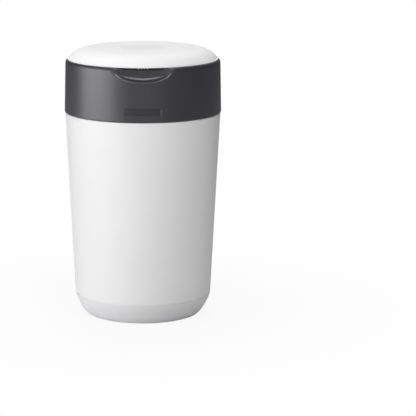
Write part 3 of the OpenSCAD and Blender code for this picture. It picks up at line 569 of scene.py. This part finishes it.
def smooth_copy(node: str, name: str, bevel_mm: float) -> Piece:
    """Copies a CAD node's mesh, merges its loose triangles and rounds its edges.

    Args:
        node: the CAD node.
        name: the copy's name.
        bevel_mm: width of the rounding, or 0 for none.

    Returns:
        The object.
    """
    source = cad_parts[node]
    mesh = source.data.copy()
    mesh.name = name
    tidy = bmesh.new()
    tidy.from_mesh(mesh)
    bmesh.ops.remove_doubles(tidy, verts=tidy.verts, dist=MERGE_M)
    bmesh.ops.dissolve_limit(tidy, angle_limit=math.radians(0.6), verts=tidy.verts, edges=tidy.edges)
    tidy.to_mesh(mesh)
    tidy.free()
    mesh.materials.clear()
    made = add_shaded(name, mesh, COPY_SHARP_DEG)
    if bevel_mm > 0:
        bevel = made.modifiers.new("edge_round", "BEVEL")
        bevel.width = bevel_mm * MM
        bevel.segments = 2
        bevel.limit_method = "ANGLE"
        bevel.angle_limit = math.radians(COPY_SHARP_DEG)
        bevel.harden_normals = True
    return made


def fit_out(piece: Piece, body: Body, material: Material, slot: str, *replaced: str) -> None:
    """Gives a piece its material, its body and the CAD nodes that it stands for.

    Args:
        piece: the finished piece.
        body: the body that it moves with.
        material: its finish.
        slot: not used.
        *replaced: the CAD nodes that it replaces.
    """
    piece.data.materials.clear()
    piece.data.materials.append(material)
    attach(piece, body.value)
    if replaced:
        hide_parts(*replaced)
    LOG.info("%s: %d faces, rides on %s", piece.name, len(piece.data.polygons), body.value)


def fit_copies(rows: Sequence[tuple[str, str, Body, Material, str, float]]) -> None:
    """Fits out copies of CAD nodes from rows of node, name, body, finish, slot and bevel."""
    for node, name, body, material, slot, bevel in rows:
        fit_out(smooth_copy(node, name, bevel), body, material, slot, node)


def smooth_step(value: Array, low: float, high: float) -> Array:
    """Rises from 0 at low to 1 at high along 3 t squared minus 2 t cubed."""
    t = np.clip((value - low) / (high - low), 0, 1)
    return t * t * (3 - 2 * t)


def notch_share(x: Array, half: float, fade: float = 0.8) -> Array:
    """Share of a notch at each x: 1 within its half width, falling to 0 over the fade outside."""
    return smooth_step(-np.abs(x), -half - fade, -half + NOTCH_FADE)


# ---------------------------------------------------------------- sub-assemblies


@dataclass
class TubAssembly:
    """The tub, its base shell, its rubber pads and the ring in its mouth."""

    top_r: float = 122.9
    top_z: float = 325.0
    taper: float = 0.0497
    wall: float = 2.6
    bead_h: float = 5.0
    bead_reach: float = 1.8
    base_h: float = 33.5
    base_round: float = 20.0
    base_power: float = 1.32
    base_wall: float = 2.8
    fit: float = 0.3
    groove: float = 0.7
    pad_proud: float = 0.8
    pad_r: float = 9.0
    pad_t: float = 2.0
    pad_circle_r: float = 74.0
    pad_count: int = 4
    notch_half: float = 40.0
    notch_h: float = 7.0
    squeeze_h: float = 40.0

    @property
    def base_top_r(self) -> float:
        """Outer radius at the seam between tub and base."""
        return self.top_r - self.taper * (self.top_z - self.base_h)

    def base_curve(self, inset: float, steps: int = 40) -> Array:
        """Rounded bottom edge as a superellipse quarter, from the flat out to the side.

        The radius is the flat's radius plus the edge's width times sin(a) to the power 2/n, and
        the height falls from the base's height by the rest times cos(a) to the power 2/n.
        """
        a = np.linspace(0, math.pi / 2, steps + 1)
        flat_r = self.base_top_r - self.base_round
        r = flat_r - inset + self.base_round * np.sin(a) ** (2 / self.base_power)
        z = self.base_h - (self.base_h - inset) * np.cos(a) ** (2 / self.base_power)
        return np.stack([r, z], 1)

    def build(self, finish: Finishes) -> None:
        """Builds and dresses the pieces."""
        self.build_tub(finish)
        self.build_base(finish)
        self.build_pads(finish)
        fit_copies([("tub_rim", "tub_mouth_ring", Body.BIN, finish.slate, "slate_plastic", 0.4),
                    ("head_hinge_pin", "head_hinge_pin_turned", Body.BIN, finish.steel, "steel", 0.25)])

    def build_tub(self, finish: Finishes) -> None:
        """Tub: one closed profile from the axis round the wall and back to the axis."""
        sunk = self.base_wall + self.fit
        low_in = sunk + self.wall
        r0, g = self.base_top_r, self.groove
        bead_r = self.top_r - self.wall - self.bead_reach
        lower = self.base_curve(sunk)
        wall = rounded_path([
            (lower[-1, 0], self.base_h - 0.4, 0), (lower[-1, 0], self.base_h, 0), (r0 - g, self.base_h, 0.1),
            (r0 - g, self.base_h + g, 0.1), (r0, self.base_h + g, 0.35), (self.top_r, self.top_z, 0.9),
            (bead_r, self.top_z, 0.7), (bead_r, self.top_z - self.bead_h, 0.8),
            (self.top_r - self.wall - 0.4, self.top_z - self.bead_h - 3.5, 2.0),
            (r0 - self.wall + 0.3, self.base_h + 6, 2.0), (r0 - low_in, self.base_h, 1.0),
            (r0 - low_in, self.base_h - 0.4, 0)])
        inner = self.base_curve(low_in)[::-1]
        profile = np.vstack([[[0, sunk]], lower[:-1], wall[1:-1], inner[1:], [[0, low_in]]])
        profile = densified(profile, even_step(8.0), closed=False)
        angles = turn_angles(240, notch_edges(edge_deg(self.notch_half, self.top_r), 1.2, 10))

        def shape(points: Array) -> Array:
            """Lowers the top edge inside the hinge notch: heights near the top shrink down."""
            x, y, z = np.moveaxis(points, -1, 0)
            inside = notch_share(x, self.notch_half, 0.6) * (y > 0)
            low = self.top_z - self.squeeze_h
            squeezed = low + (z - low) * (1 - self.notch_h / self.squeeze_h)
            out = points.copy()
            out[..., 2] = np.where(z > low, z + (squeezed - z) * inside, z)
            return out

        fit_out(revolved("tub_shell", profile, angles, shape, closed=False), Body.BIN, finish.tub,
                "white_plastic", "tub")

    def build_base(self, finish: Finishes) -> None:
        """Base shell: the rounded edge outside and in, and a flat floor that the pads stand proud of."""
        outer = self.base_curve(0, 56)
        outer = outer[outer[:, 1] > self.pad_proud + 0.3]
        inner = self.base_curve(self.base_wall)[::-1]
        flat_r = outer[0, 0]
        floor = np.array([[r, self.pad_proud] for r in np.linspace(2, flat_r - 1.2, 60)])
        rim = [[self.base_top_r - 0.25, self.base_h], [self.base_top_r - self.base_wall, self.base_h]]
        profile = np.vstack([[[0, self.pad_proud]], floor, outer, rim, inner[1:], [[0, self.base_wall]]])
        fit_out(revolved("base_band_shell", profile, turn_angles(240), closed=False), Body.BIN, finish.base,
                "base_plastic", "base_shell")

    def build_pads(self, finish: Finishes) -> None:
        """Rubber pads: turned discs with two moulded rings on their lower face."""
        r, t = self.pad_r, self.pad_t
        profile = rounded_path([(0.01, 0, 0), (r * 0.35, 0, 0.1), (r * 0.4, 0.25, 0.1), (r * 0.5, 0.25, 0.1),
                                (r * 0.55, 0, 0.1), (r * 0.78, 0, 0.1), (r * 0.83, 0.25, 0.1),
                                (r * 0.88, 0, 0.1), (r, 0.1, 0.5), (r, t, 0.1), (0.01, t, 0)], 3, 0.1)
        pads = ring_of("pad", profile, 48, self.pad_count, self.pad_circle_r, 0)
        fit_out(joined("rubber_pads", pads), Body.BIN, finish.rubber, "pad_rubber", "base_pads")


@dataclass
class HeadHousing:
    """The dark head: outer shell with scoop and label recess, hinge parts and inner ledge."""

    low_r: float = 124.0
    shoulder_r: float = 122.5
    shoulder_w: float = 3.0
    shoulder_h: float = 7.8
    low_z: float = 325.5
    top_z: float = 408.7
    in_top_r: float = 119.5
    in_low_r: float = 121.3
    ledge_z: float = 405.7
    ledge_t: float = 2.5
    lip_in_r: float = 105.2
    lip_out_r: float = 107.8
    lip_low_z: float = 396.0
    scoop_half: float = 41.7
    scoop_h: float = 21.2
    scoop_middle: float = 5.0
    scoop_r: float = 111.2
    scoop_edge: float = 1.3
    scoop_edge_share: float = 0.14
    scoop_back: float = 2.0
    label_half: float = 28.0
    label_half_h: float = 6.0
    label_z: float = 341.5
    label_depth: float = 0.8
    label_corner: float = 2.6
    label_gap: float = 0.9
    plate_proud: float = 0.42
    notch_half: float = 48.0
    notch_h: float = 14.0
    notch_spread: float = 2.2
    pivot_y: float = 114.0
    pivot_z: float = 325.5
    barrel_r: float = 6.0
    knuckle_half: float = 27.0
    lid_pivot_z: float = 407.5
    lid_barrel_r: float = 4.2
    lid_knuckle_half: float = 26.3
    lid_notch_half: float = 40.3
    shelf_z: float = 402.5
    ear_gap: float = 0.7
    ear_w: float = 9.0
    boss_count: int = 4
    boss_circle_r: float = 114.0
    boss_r: float = 4.0
    boss_low_z: float = 389.0

    def build(self, finish: Finishes) -> None:
        """Builds and dresses the head's own pieces."""
        self.build_collar(finish)
        self.build_label_plate(finish)
        head = [("cassette_cradle", "cradle_cup", finish.cassette, "dark_plastic", 0.25),
                ("ring_retainer", "retaining_ring", finish.slate_inner, "slate_plastic", 0.25),
                ("head_screws", "head_fixing_screws", finish.steel, "steel", 0.1),
                ("front_catch", "front_catch_tongue", finish.slate_inner, "slate_plastic", 0.3),
                ("pawl_pins", "pawl_pivot_pins", finish.steel, "steel", 0.15),
                ("film_gripper", "gripper_finger_cone", finish.rubber, "gripper_rubber", 0.3),
                ("gripper_clamp", "gripper_clamp_ring", finish.slate_inner, "slate_plastic", 0.3),
                ("gripper_screws", "gripper_fixing_screws", finish.steel, "steel", 0.1),
                ("cutter_guide", "cutter_channel", finish.slate_inner, "slate_plastic", 0.4),
                ("lid_hinge_pin", "lid_hinge_pin_turned", finish.steel, "steel", 0.2)]
        fit_copies([(node, name, Body.HEAD, *rest) for node, name, *rest in head])

    def profile(self) -> Array:
        """Closed profile of the shell: outer side, shoulder, top, ledge, hanging lip, inner side."""
        a = np.linspace(0, math.pi / 2, 15)
        shoulder = np.stack([self.shoulder_r - self.shoulder_w * (1 - np.cos(a)),
                             self.top_z - self.shoulder_h * (1 - np.sin(a))], 1)
        upstand = self.shoulder_r - self.shoulder_w - 2.5
        rest = rounded_path([
            (shoulder[-1, 0] - 0.2, self.top_z, 0), (upstand, self.top_z, 0.5), (upstand, self.ledge_z, 0.5),
            (self.lip_in_r, self.ledge_z, 1.4), (self.lip_in_r, self.lip_low_z, 0.8),
            (self.lip_out_r, self.lip_low_z, 0.8), (self.lip_out_r, self.ledge_z - self.ledge_t, 1.0),
            (self.in_top_r, self.ledge_z - self.ledge_t, 1.5), (self.in_low_r, self.low_z, 0.4),
            (self.low_r, self.low_z, 1.2), (self.shoulder_r + 0.02, self.top_z - self.shoulder_h - 0.3, 0)])
        return densified(np.vstack([shoulder, rest]), self.row_step)

    def row_step(self, point: Array) -> Array:
        """Longest row spacing near each profile point: finest at the scoop's lower rim and the label."""
        drop = self.top_z - point[:, 1]
        in_scoop = (drop < self.scoop_h + 3) & (point[:, 0] > self.scoop_r - 1)
        low_rim = in_scoop & (drop > self.scoop_h - 6)
        in_label = np.abs(point[:, 1] - self.label_z) < self.label_half_h + 1.5
        outside = point[:, 0] > self.in_low_r - 1.0
        return np.select([low_rim, in_scoop, in_label & outside], [0.5, 1.1, 0.6], 6.0)

    def scoop_depth(self, x: Array, drop: Array) -> Array:
        """How far the scoop has sunk towards its back, from 0 at its rim to 1.

        The rim is an ellipse whose middle lies a little below the shell's top edge. The bevel
        outside it brings a small share. Inside, the back is hollow from side to side, as
        1 - t^3 with t the place across the ellipse, and meets the lower rim in a steep wall,
        as the root of 1 - s^6 with s the place down the ellipse.
        """
        tall = self.scoop_h - self.scoop_middle
        across, down = np.abs(x) / self.scoop_half, (drop - self.scoop_middle) / tall
        reach = np.hypot(across, down)
        bevel = 1 - smooth_step((reach - 1) * tall, 0.0, self.scoop_edge)
        room = np.sqrt(np.clip(1 - np.minimum(down, 0) ** 2, TINY, 1))
        hollow = 1 - np.clip(across / room, 0, 1) ** 3
        depth_at = np.clip(down, 0, None) / np.sqrt(np.clip(1 - across ** 2, TINY, 1))
        steep = np.clip(1 - np.clip(depth_at, 0, 1) ** 6, 0, 1) ** 0.5
        return self.scoop_edge_share * bevel + (1 - self.scoop_edge_share) * hollow * steep * (reach < 1)

    def shape(self, points: Array) -> Array:
        """Sinks the scoop and the label recess, and cuts both hinge notches.

        In the scoop every radius beyond the back's slides towards it by the scoop's depth, and
        heights above the ledge sink to the ledge in the same share. The label recess is the
        distance inside a rounded rectangle. A notch moves the rows near its edge to its height.
        """
        x, y, z = np.moveaxis(points, -1, 0)
        r = np.hypot(x, y)
        front = y < 0
        sunk = self.scoop_depth(x, np.clip(self.top_z - z, 0, None)) * front
        on_inside = (r < self.in_low_r + 0.3) & (z < self.ledge_z - self.ledge_t + 0.1)
        back_r = np.where(on_inside, self.scoop_r - self.scoop_back, self.scoop_r)
        pull = np.where(on_inside, np.minimum(1, sunk * 1.3), sunk)
        new_r = np.where(r > back_r, r + (back_r - r) * pull, r)
        new_z = np.where(z > self.ledge_z, z + (self.ledge_z - z) * sunk, z)
        dx = np.clip(np.abs(x) - (self.label_half - self.label_corner), 0, None)
        dz = np.clip(np.abs(z - self.label_z) - (self.label_half_h - self.label_corner), 0, None)
        from_edge = self.label_corner - np.hypot(dx, dz)
        outside = r > self.in_low_r + 0.6
        new_r = new_r - self.label_depth * smooth_step(from_edge, 0.0, 0.6) * front * outside
        back = (y > 0) * notch_share(x, self.notch_half)
        high = self.low_z + self.notch_spread * self.notch_h
        share = (high - self.low_z - self.notch_h) / (high - self.low_z)
        raised = self.low_z + self.notch_h + (z - self.low_z) * share
        new_z = np.where(z < high, new_z + (raised - z) * back, new_z)
        lid_back = (y > 0) * notch_share(x, self.lid_notch_half)
        behind = smooth_step(y, self.pivot_y - 5.2, self.pivot_y - 4.6)
        new_z = np.where(new_z > self.shelf_z, new_z + (self.shelf_z - new_z) * lid_back * behind, new_z)
        out = points.copy()
        out[..., 0] = x * new_r / np.maximum(r, TINY)
        out[..., 1] = y * new_r / np.maximum(r, TINY)
        out[..., 2] = new_z
        return out

    def bar_outline(self, barrel_r: float, y: float, z: float, low: tuple[float, float],
                    high: tuple[float, float]) -> Array:
        """Outline of a hinge ear in Y and Z: the barrel's circle with a block that roots it."""
        box = np.array([[low[0], low[1]], [high[0], low[1]], [high[0], high[1]], [low[0], high[1]]])
        return convex_outline(np.vstack([circle_outline(y, z, barrel_r, 48), box]))

    def build_collar(self, finish: Finishes) -> None:
        """Shell with its hinge knuckle, its web, the lid's ears and shelf, and the screw bosses."""
        front = edge_deg(self.scoop_half + 2, self.low_r)
        angles = turn_angles(160, [(270, front, 160),
                                   *notch_edges(edge_deg(self.notch_half, self.low_r), 1.0, 8),
                                   *notch_edges(edge_deg(self.lid_notch_half, self.shoulder_r), 1.0, 8)])
        parts = [revolved("head_shell", self.profile(), angles, self.shape)]
        web = convex_outline(np.array([[self.pivot_y - 5, self.pivot_z], [self.pivot_y + 3, self.pivot_z],
                                       [self.pivot_y + 4.5, self.low_z + 21],
                                       [self.pivot_y - 5, self.low_z + 21]]))
        web = densified(web, even_step(3.0))
        parts.append(prism("web", web, -self.knuckle_half, self.knuckle_half, 0.8))
        barrel = circle_outline(self.pivot_y, self.pivot_z, self.barrel_r, 48)
        parts.append(prism("barrel", barrel, -self.knuckle_half, self.knuckle_half, 0.6))
        ear = self.bar_outline(self.lid_barrel_r, self.pivot_y, self.lid_pivot_z,
                               (self.pivot_y - 3, self.shelf_z - 0.8), (self.pivot_y + 3, self.shelf_z - 0.8))
        near = self.lid_knuckle_half + self.ear_gap
        for start in (near, -near - self.ear_w):
            parts.append(prism("ear", ear, start, start + self.ear_w, 0.5))
        boss = rounded_path([(0.01, self.boss_low_z, 0), (self.boss_r, self.boss_low_z, 0.5),
                             (self.boss_r, self.ledge_z - 1, 0), (0.01, self.ledge_z - 1, 0)])
        parts += ring_of("boss", boss, 32, self.boss_count, self.boss_circle_r, 45)
        fit_out(joined("head_housing", parts), Body.HEAD, finish.slate, "slate_plastic", "head_collar")

    def build_label_plate(self, finish: Finishes) -> None:
        """Bare inlay in the label recess: a thin plate with round corners, bent to the shell.

        Ring k of the plate is its outline scaled towards its middle; the first rings climb its
        edge. A point (u, z) lies at angle u / r round the axis, on the recess's own radius.
        """
        half, half_h, corner = (size - self.label_gap for size in (self.label_half, self.label_half_h,
                                                                   self.label_corner))
        outline = rounded_path([(-half, -half_h, corner), (half, -half_h, corner), (half, half_h, corner),
                                (-half, half_h, corner)], 6, 0.2)
        outline = densified(outline, even_step(1.6))
        share = np.concatenate([[1.0, 1.0, 0.997, 0.99], np.linspace(0.97, 0.0, 12)])
        proud = np.concatenate([[-0.3, 0.25, 0.38], np.full(13, self.plate_proud)])
        u = outline[None, :, 0] * share[:, None]
        z = self.label_z + outline[None, :, 1] * share[:, None]
        slope = (self.shoulder_r - self.low_r) / (self.top_z - self.shoulder_h - self.low_z)
        r = self.low_r + slope * (z - self.low_z) - self.label_depth + proud[:, None]
        points = np.stack([r * np.sin(u / r), -r * np.cos(u / r), z], -1)
        underside = points[:1] * 0 + points[:1].mean(1, keepdims=True)
        plate = grid_mesh("bare_label_plate", np.concatenate([points, underside]), False, True)
        fit_out(plate, Body.HEAD, finish.inlay, "slate_plastic")


def convex_outline(points: Array) -> Array:
    """Convex outline round a set of 2-D points, anticlockwise, by the monotone chain."""
    order = sorted(map(tuple, points))

    def chain(run: Sequence[tuple[float, float]]) -> list:
        """One side of the hull."""
        hull: list = []
        for p in run:
            while len(hull) > 1 and ((hull[-1][0] - hull[-2][0]) * (p[1] - hull[-2][1])
                                     - (hull[-1][1] - hull[-2][1]) * (p[0] - hull[-2][0])) <= 1e-9:
                hull.pop()
            hull.append(p)
        return hull[:-1]

    return np.array(chain(order) + chain(order[::-1]))


@dataclass
class LidAssembly:
    """The domed lid with its lip, hinge knuckle, inner panel, seal and screws."""

    lip_r: float = 119.2
    lip_h: float = 1.6
    edge_r: float = 118.6
    low_z: float = 409.0
    rise: float = 18.0
    power: float = 9.5
    wall: float = 2.4
    dish_r: float = 36.5
    dish_depth: float = 0.9
    rib_count: int = 4
    rib_step: float = 4.6
    pivot_y: float = 114.0
    pivot_z: float = 407.5
    barrel_r: float = 4.2
    knuckle_half: float = 26.3
    notch_half: float = 40.3
    panel_r: float = 109.0
    panel_t: float = 2.0
    panel_dish: float = 0.8
    panel_ring_h: float = 0.35
    panel_groove: float = 0.6
    disc_proud: float = 0.55
    disc_dip: float = 0.2

    def dome(self, edge_r: float, low_z: float, rise: float, steps: int = 70) -> Array:
        """Dome's profile from the edge to the axis: height = rise times (1 - (r/edge)^power).

        The share of the height left falls from 1 to 0 by a power law in the step, which packs
        points at the tight edge and spreads them over the flat crown.
        """
        share = np.linspace(1, 0, steps + 1) ** 2.2
        return np.stack([edge_r * share ** (1 / self.power), low_z + rise * (1 - share)], 1)

    def build(self, finish: Finishes) -> None:
        """Builds and dresses the lid's pieces."""
        self.build_shell(finish)
        self.build_disc(finish)
        self.build_inner_panel(finish)
        fit_copies([("lid_seal", "lid_odour_seal", Body.LID, finish.rubber, "pad_rubber", 0.3),
                    ("liner_screws", "panel_screws", Body.LID, finish.steel, "steel", 0.1)])

    def shape(self, points: Array) -> Array:
        """Sinks the round dish in the crown and clears the hinge notch from the back edge."""
        x, y, z = np.moveaxis(points, -1, 0)
        r = np.hypot(x, y)
        top = z > self.low_z + self.rise - self.wall / 2
        out = points.copy()
        sunk = self.dish_depth * smooth_step(-r, -self.dish_r, -self.dish_r + 1.6)
        out[..., 2] = z - np.where(top, sunk, 0)
        inside = notch_share(x, self.notch_half)
        limit = self.pivot_y - self.barrel_r - 0.5
        low = z < self.low_z + 3.6
        pulled = np.where(low & (y > limit), limit, y)
        out[..., 1] = np.where(y > 0, y + (pulled - y) * inside, y)
        return out

    def build_shell(self, finish: Finishes) -> None:
        """Shell: dome outside, lip, flat rim underneath and the dome's inner side."""
        outer = self.dome(self.edge_r, self.low_z, self.rise)
        outer = outer[outer[:, 1] > self.low_z + self.lip_h + 0.25]
        inner = self.dome(self.edge_r - self.wall, self.low_z, self.rise - self.wall)
        lip = rounded_path([(outer[0, 0] + 0.02, self.low_z + self.lip_h, 0),
                            (self.lip_r, self.low_z + self.lip_h, 0.35), (self.lip_r, self.low_z, 0.35),
                            (inner[0, 0], self.low_z, 0)], 4, 0.1)[::-1]
        crown_z = self.low_z + self.rise
        dome = outer[outer[:, 0] > self.dish_r + 4]
        dish = np.stack([np.linspace(self.dish_r + 3, 0, 26), np.full(26, crown_z)], 1)
        profile = np.vstack([inner[::-1][:-1], lip, dome, dish])
        angles = turn_angles(240, notch_edges(edge_deg(self.notch_half, self.lip_r), 1.0, 8))
        parts = [revolved("lid_dome", profile, angles, self.shape, closed=False)]
        barrel = circle_outline(self.pivot_y, self.pivot_z, self.barrel_r, 40)
        parts.append(prism("barrel", barrel, -self.knuckle_half, self.knuckle_half, 0.5))
        root_y = self.pivot_y - self.barrel_r
        web = np.array([[root_y, self.low_z], [self.pivot_y + 2.5, self.low_z + 0.5],
                        [self.pivot_y + 0.5, self.low_z + 4.2], [root_y, self.low_z + 6.5]])
        web = densified(web, even_step(2.0))
        parts.append(prism("web", web, -self.knuckle_half, self.knuckle_half, 0.5))
        front, back = -self.lip_r + 0.6, -self.lip_r + 3.6
        rib = rounded_path([(front, self.low_z - 1.4, 0.4), (back, self.low_z - 1.4, 0.4),
                            (back, self.low_z + 0.4, 0), (front, self.low_z + 0.4, 0)])
        for i in range(self.rib_count):
            middle = (i - (self.rib_count - 1) / 2) * self.rib_step
            parts.append(prism("rib", rib, middle - 0.6, middle + 0.6, 0.25))
        fit_out(joined("lid_domed_shell", parts), Body.LID, finish.lid, "white_plastic", "lid_shell")

    def build_inner_panel(self, finish: Finishes) -> None:
        """Inner panel: a turned profile with a dished middle, two raised rings and an edge groove.

        The middle rises by panel_dish along a smooth step. Each ring is a half wave, 1 + cos, on
        the underside. The panel's upper side keeps the stiffening hoop that stands on it.
        """
        low, thick, edge = self.low_z, self.panel_t, self.panel_r
        r = np.linspace(0, edge - 0.8, 180)
        under = low + self.panel_dish * smooth_step(-r, -0.56 * edge, -0.50 * edge)
        for ring_r in (0.18 * edge, 0.34 * edge):
            near = np.clip(np.abs(r - ring_r) / 2.2, 0, 1)
            under = under - self.panel_ring_h * (1 + np.cos(math.pi * near)) / 2
        near = np.clip(np.abs(r - 0.9 * edge) / 1.6, 0, 1)
        under = under + self.panel_groove * (1 + np.cos(math.pi * near)) / 2
        hoop = 0.55 * edge
        upper = rounded_path([(edge, low, 0.5), (edge, low + thick, 0.5), (hoop + 1.6, low + thick, 0.8),
                              (hoop + 1.6, low + thick + 4, 0.3), (hoop, low + thick + 4, 0.3),
                              (hoop, low + thick, 0.8), (0, low + thick, 0)], 4, 0.2)
        profile = np.vstack([np.stack([r, under], 1), upper])
        fit_out(revolved("lid_inner_panel", profile, turn_angles(160), closed=False), Body.LID, finish.base,
                "base_plastic", "lid_liner")

    def build_disc(self, finish: Finishes) -> None:
        """Plain disc in the dish: a turned profile whose top dips towards the middle."""
        r, low = self.dish_r - 2.4, self.low_z + self.rise - self.dish_depth
        top = np.linspace(r - 1.0, 0, 24)
        high = low + self.disc_proud
        crown = np.stack([top, high - self.disc_dip * (1 - (top / r) ** 2)], 1)
        edge = rounded_path([(0, low - 0.4, 0), (r, low - 0.4, 0), (r, high, 0.35),
                             (r - 1.0, high, 0)], 4, 0.1)
        fit_out(revolved("plain_lid_disc", np.vstack([edge[:-1], crown]), turn_angles(160), closed=False),
                Body.LID, finish.disc, "white_plastic")


class TwistMechanism:
    """The turning ring, the cassette in it, the pawls and the cutter."""

    def build(self, finish: Finishes) -> None:
        """Builds and dresses the pieces."""
        fit_copies([
            ("twist_ring", "turning_grip_ring", Body.RING, finish.slate_inner, "slate_plastic", 0.3),
            ("cassette_body", "cassette_trough", Body.RING, finish.cassette, "dark_plastic", 0.3),
            ("cassette_core", "cassette_tube", Body.RING, finish.cassette, "dark_plastic", 0.3),
            ("cassette_cover", "cassette_top_plate", Body.RING, finish.cassette, "dark_plastic", 0.3),
            ("cassette_film", "pleated_film_pack", Body.RING, finish.film, "film", 0.2),
            ("cassette_label", "cassette_print", Body.RING, finish.print, "label", 0.0),
            ("click_pawl_left", "left_pawl", Body.PAWL_LEFT, finish.acetal, "black_acetal", 0.2),
            ("click_pawl_right", "right_pawl", Body.PAWL_RIGHT, finish.acetal, "black_acetal", 0.2),
            ("cutter_slider", "cutter_grip", Body.CUTTER, finish.grip, "slider_plastic", 0.4),
            ("cutter_blade", "cutter_blade_ground", Body.CUTTER, finish.blade, "blade_steel", 0.05)])


# ---------------------------------------------------------------- stage


@dataclass(frozen=True)
class Lamp:
    """One soft rectangular lamp: where it stands, what it faces, its size and its power."""

    name: str
    place: tuple[float, float, float]
    aim: tuple[float, float, float]
    size: tuple[float, float]
    power: float

    def build(self) -> None:
        """Adds the lamp to the scene."""
        data = bpy.data.lights.new(self.name, "AREA")
        data.shape = "RECTANGLE"
        data.size, data.size_y = self.size
        data.energy = self.power
        lamp = add_object(self.name, data)
        lamp.location = self.place
        lamp.rotation_euler = (Vector(self.aim) - Vector(self.place)).to_track_quat("-Z", "Y").to_euler()


@dataclass
class Studio:
    """Camera, lamps, floor and background, matched to the photograph's view."""

    camera_distance: float = 3.117
    camera_height: float = 0.8115
    aim_height: float = 0.2234
    lens: float = 171.95
    shift_x: float = 0.1564
    shift_y: float = -0.0821
    ambient: float = 0.10
    mirrored_white: float = 0.04
    floor_grey: float = 0.68
    shadow_reach: float = 0.55
    lamps: tuple[Lamp, ...] = (
        Lamp("side_softbox", (-1.88, -0.67, 0.42), (0, 0, 0.30), (2.0, 0.78), 22.5),
        Lamp("front_left_panel", (-1.25, -1.75, 0.4), (0, 0, 0.3), (0.9, 0.8), 1.4),
        Lamp("front_panel", (0.35, -2.3, 0.4), (0, 0, 0.3), (1.4, 1.0), 1.5),
        Lamp("front_overhead", (0.1, -1.4, 1.9), (0, 0, 0.3), (1.2, 1.2), 26.5),
        Lamp("overhead", (0, 0, 2.2), (0, 0, 0.3), (1.5, 1.5), 11.0),
        Lamp("back_overhead", (0, 1.3, 1.9), (0, 0, 0.3), (1.6, 1.4), 15.0),
    )

    def build(self) -> None:
        """Builds the stage."""
        self.build_camera()
        self.build_world()
        self.build_floor()
        for lamp in self.lamps:
            lamp.build()

    def build_camera(self) -> None:
        """Camera fitted to the photograph: its height and distance, aimed down without roll."""
        data = bpy.data.cameras.new("camera")
        data.lens, data.sensor_width = self.lens, 36.0
        data.shift_x, data.shift_y = self.shift_x, self.shift_y
        data.clip_start, data.clip_end = 0.05, 50
        camera = add_object("camera", data)
        place = Vector((0, -self.camera_distance, self.camera_height))
        camera.location = place
        camera.rotation_euler = (Vector((0, 0, self.aim_height)) - place).to_track_quat("-Z", "Y").to_euler()
        bpy.context.scene.camera = camera

    def build_world(self) -> None:
        """Dim even light all round; the camera and clear pieces see plain white.

        Glossy rays see a share of that white, so that plated steel doesn't mirror a dark room
        while the dark head keeps its one-sided highlight.
        """
        world = bpy.data.worlds.new("studio")
        bpy.context.scene.world = world
        world.use_nodes = True
        tree = world.node_tree
        tree.nodes.clear()
        path = add_node(tree, "LightPath")
        grey = add_node(tree, "Background", {"Color": (1, 1, 1, 1), "Strength": self.ambient})
        white = add_node(tree, "Background", {"Color": (1, 1, 1, 1), "Strength": 1.0})
        seen = add_node(tree, "Math", {0: path.outputs["Is Camera Ray"],
                                                 1: path.outputs["Is Transmission Ray"]}, operation="MAXIMUM")
        mirrored = add_node(tree, "Math", {0: path.outputs["Is Glossy Ray"],
                                                     1: self.mirrored_white}, operation="MULTIPLY")
        share = add_node(tree, "Math", {0: seen.outputs[0], 1: mirrored.outputs[0]}, operation="MAXIMUM")
        mixed = add_node(tree, "MixShader", {0: share.outputs[0], 1: grey.outputs[0],
                                                       2: white.outputs[0]})
        add_node(tree, "OutputWorld", {"Surface": mixed.outputs[0]})

    def build_floor(self) -> None:
        """Pale floor that reads white to the camera and still takes the object's shadow.

        The share of plain white grows with the distance from the object, from 0.9 beside it to
        1 far away, so the shadow stays and the floor has no visible end.
        """
        half = 6000.0
        line = np.linspace(-half, half, 9)
        x, y = np.meshgrid(line, line, indexing="ij")
        floor = grid_mesh("floor", np.stack([x, y, np.zeros_like(x)], -1), False, False)
        material, tree, place = new_material("white_sweep")
        path = add_node(tree, "LightPath")
        away = add_node(tree, "VectorMath", {0: place}, operation="LENGTH")
        whiteness = add_node(tree, "MapRange",
                             {"Value": away.outputs["Value"], "From Min": 0.12, "From Max": self.shadow_reach,
                              "To Min": 0.9, "To Max": 1.0})
        plain = add_node(tree, "BsdfDiffuse", {"Color": (*(self.floor_grey,) * 3, 1)})
        lit = add_node(tree, "Emission", {"Color": (1, 1, 1, 1), "Strength": 1.0})
        share = add_node(tree, "Math", {0: path.outputs["Is Camera Ray"],
                                                  1: whiteness.outputs["Result"]}, operation="MULTIPLY")
        mixed = add_node(tree, "MixShader", {0: share.outputs[0], 1: plain.outputs[0],
                                                       2: lit.outputs[0]})
        add_node(tree, "OutputMaterial", {"Surface": mixed.outputs[0]})
        floor.data.materials.append(material)


def main() -> None:
    """Builds the stage and every sub-assembly."""
    bpy.context.scene.view_settings.view_transform = "Standard"
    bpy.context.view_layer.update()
    Studio().build()
    finish = Finishes()
    TubAssembly().build(finish)
    HeadHousing().build(finish)
    LidAssembly().build(finish)
    TwistMechanism().build(finish)


if __name__ == "__main__":
    logging.basicConfig(level=logging.INFO, format="%(message)s")
    main()
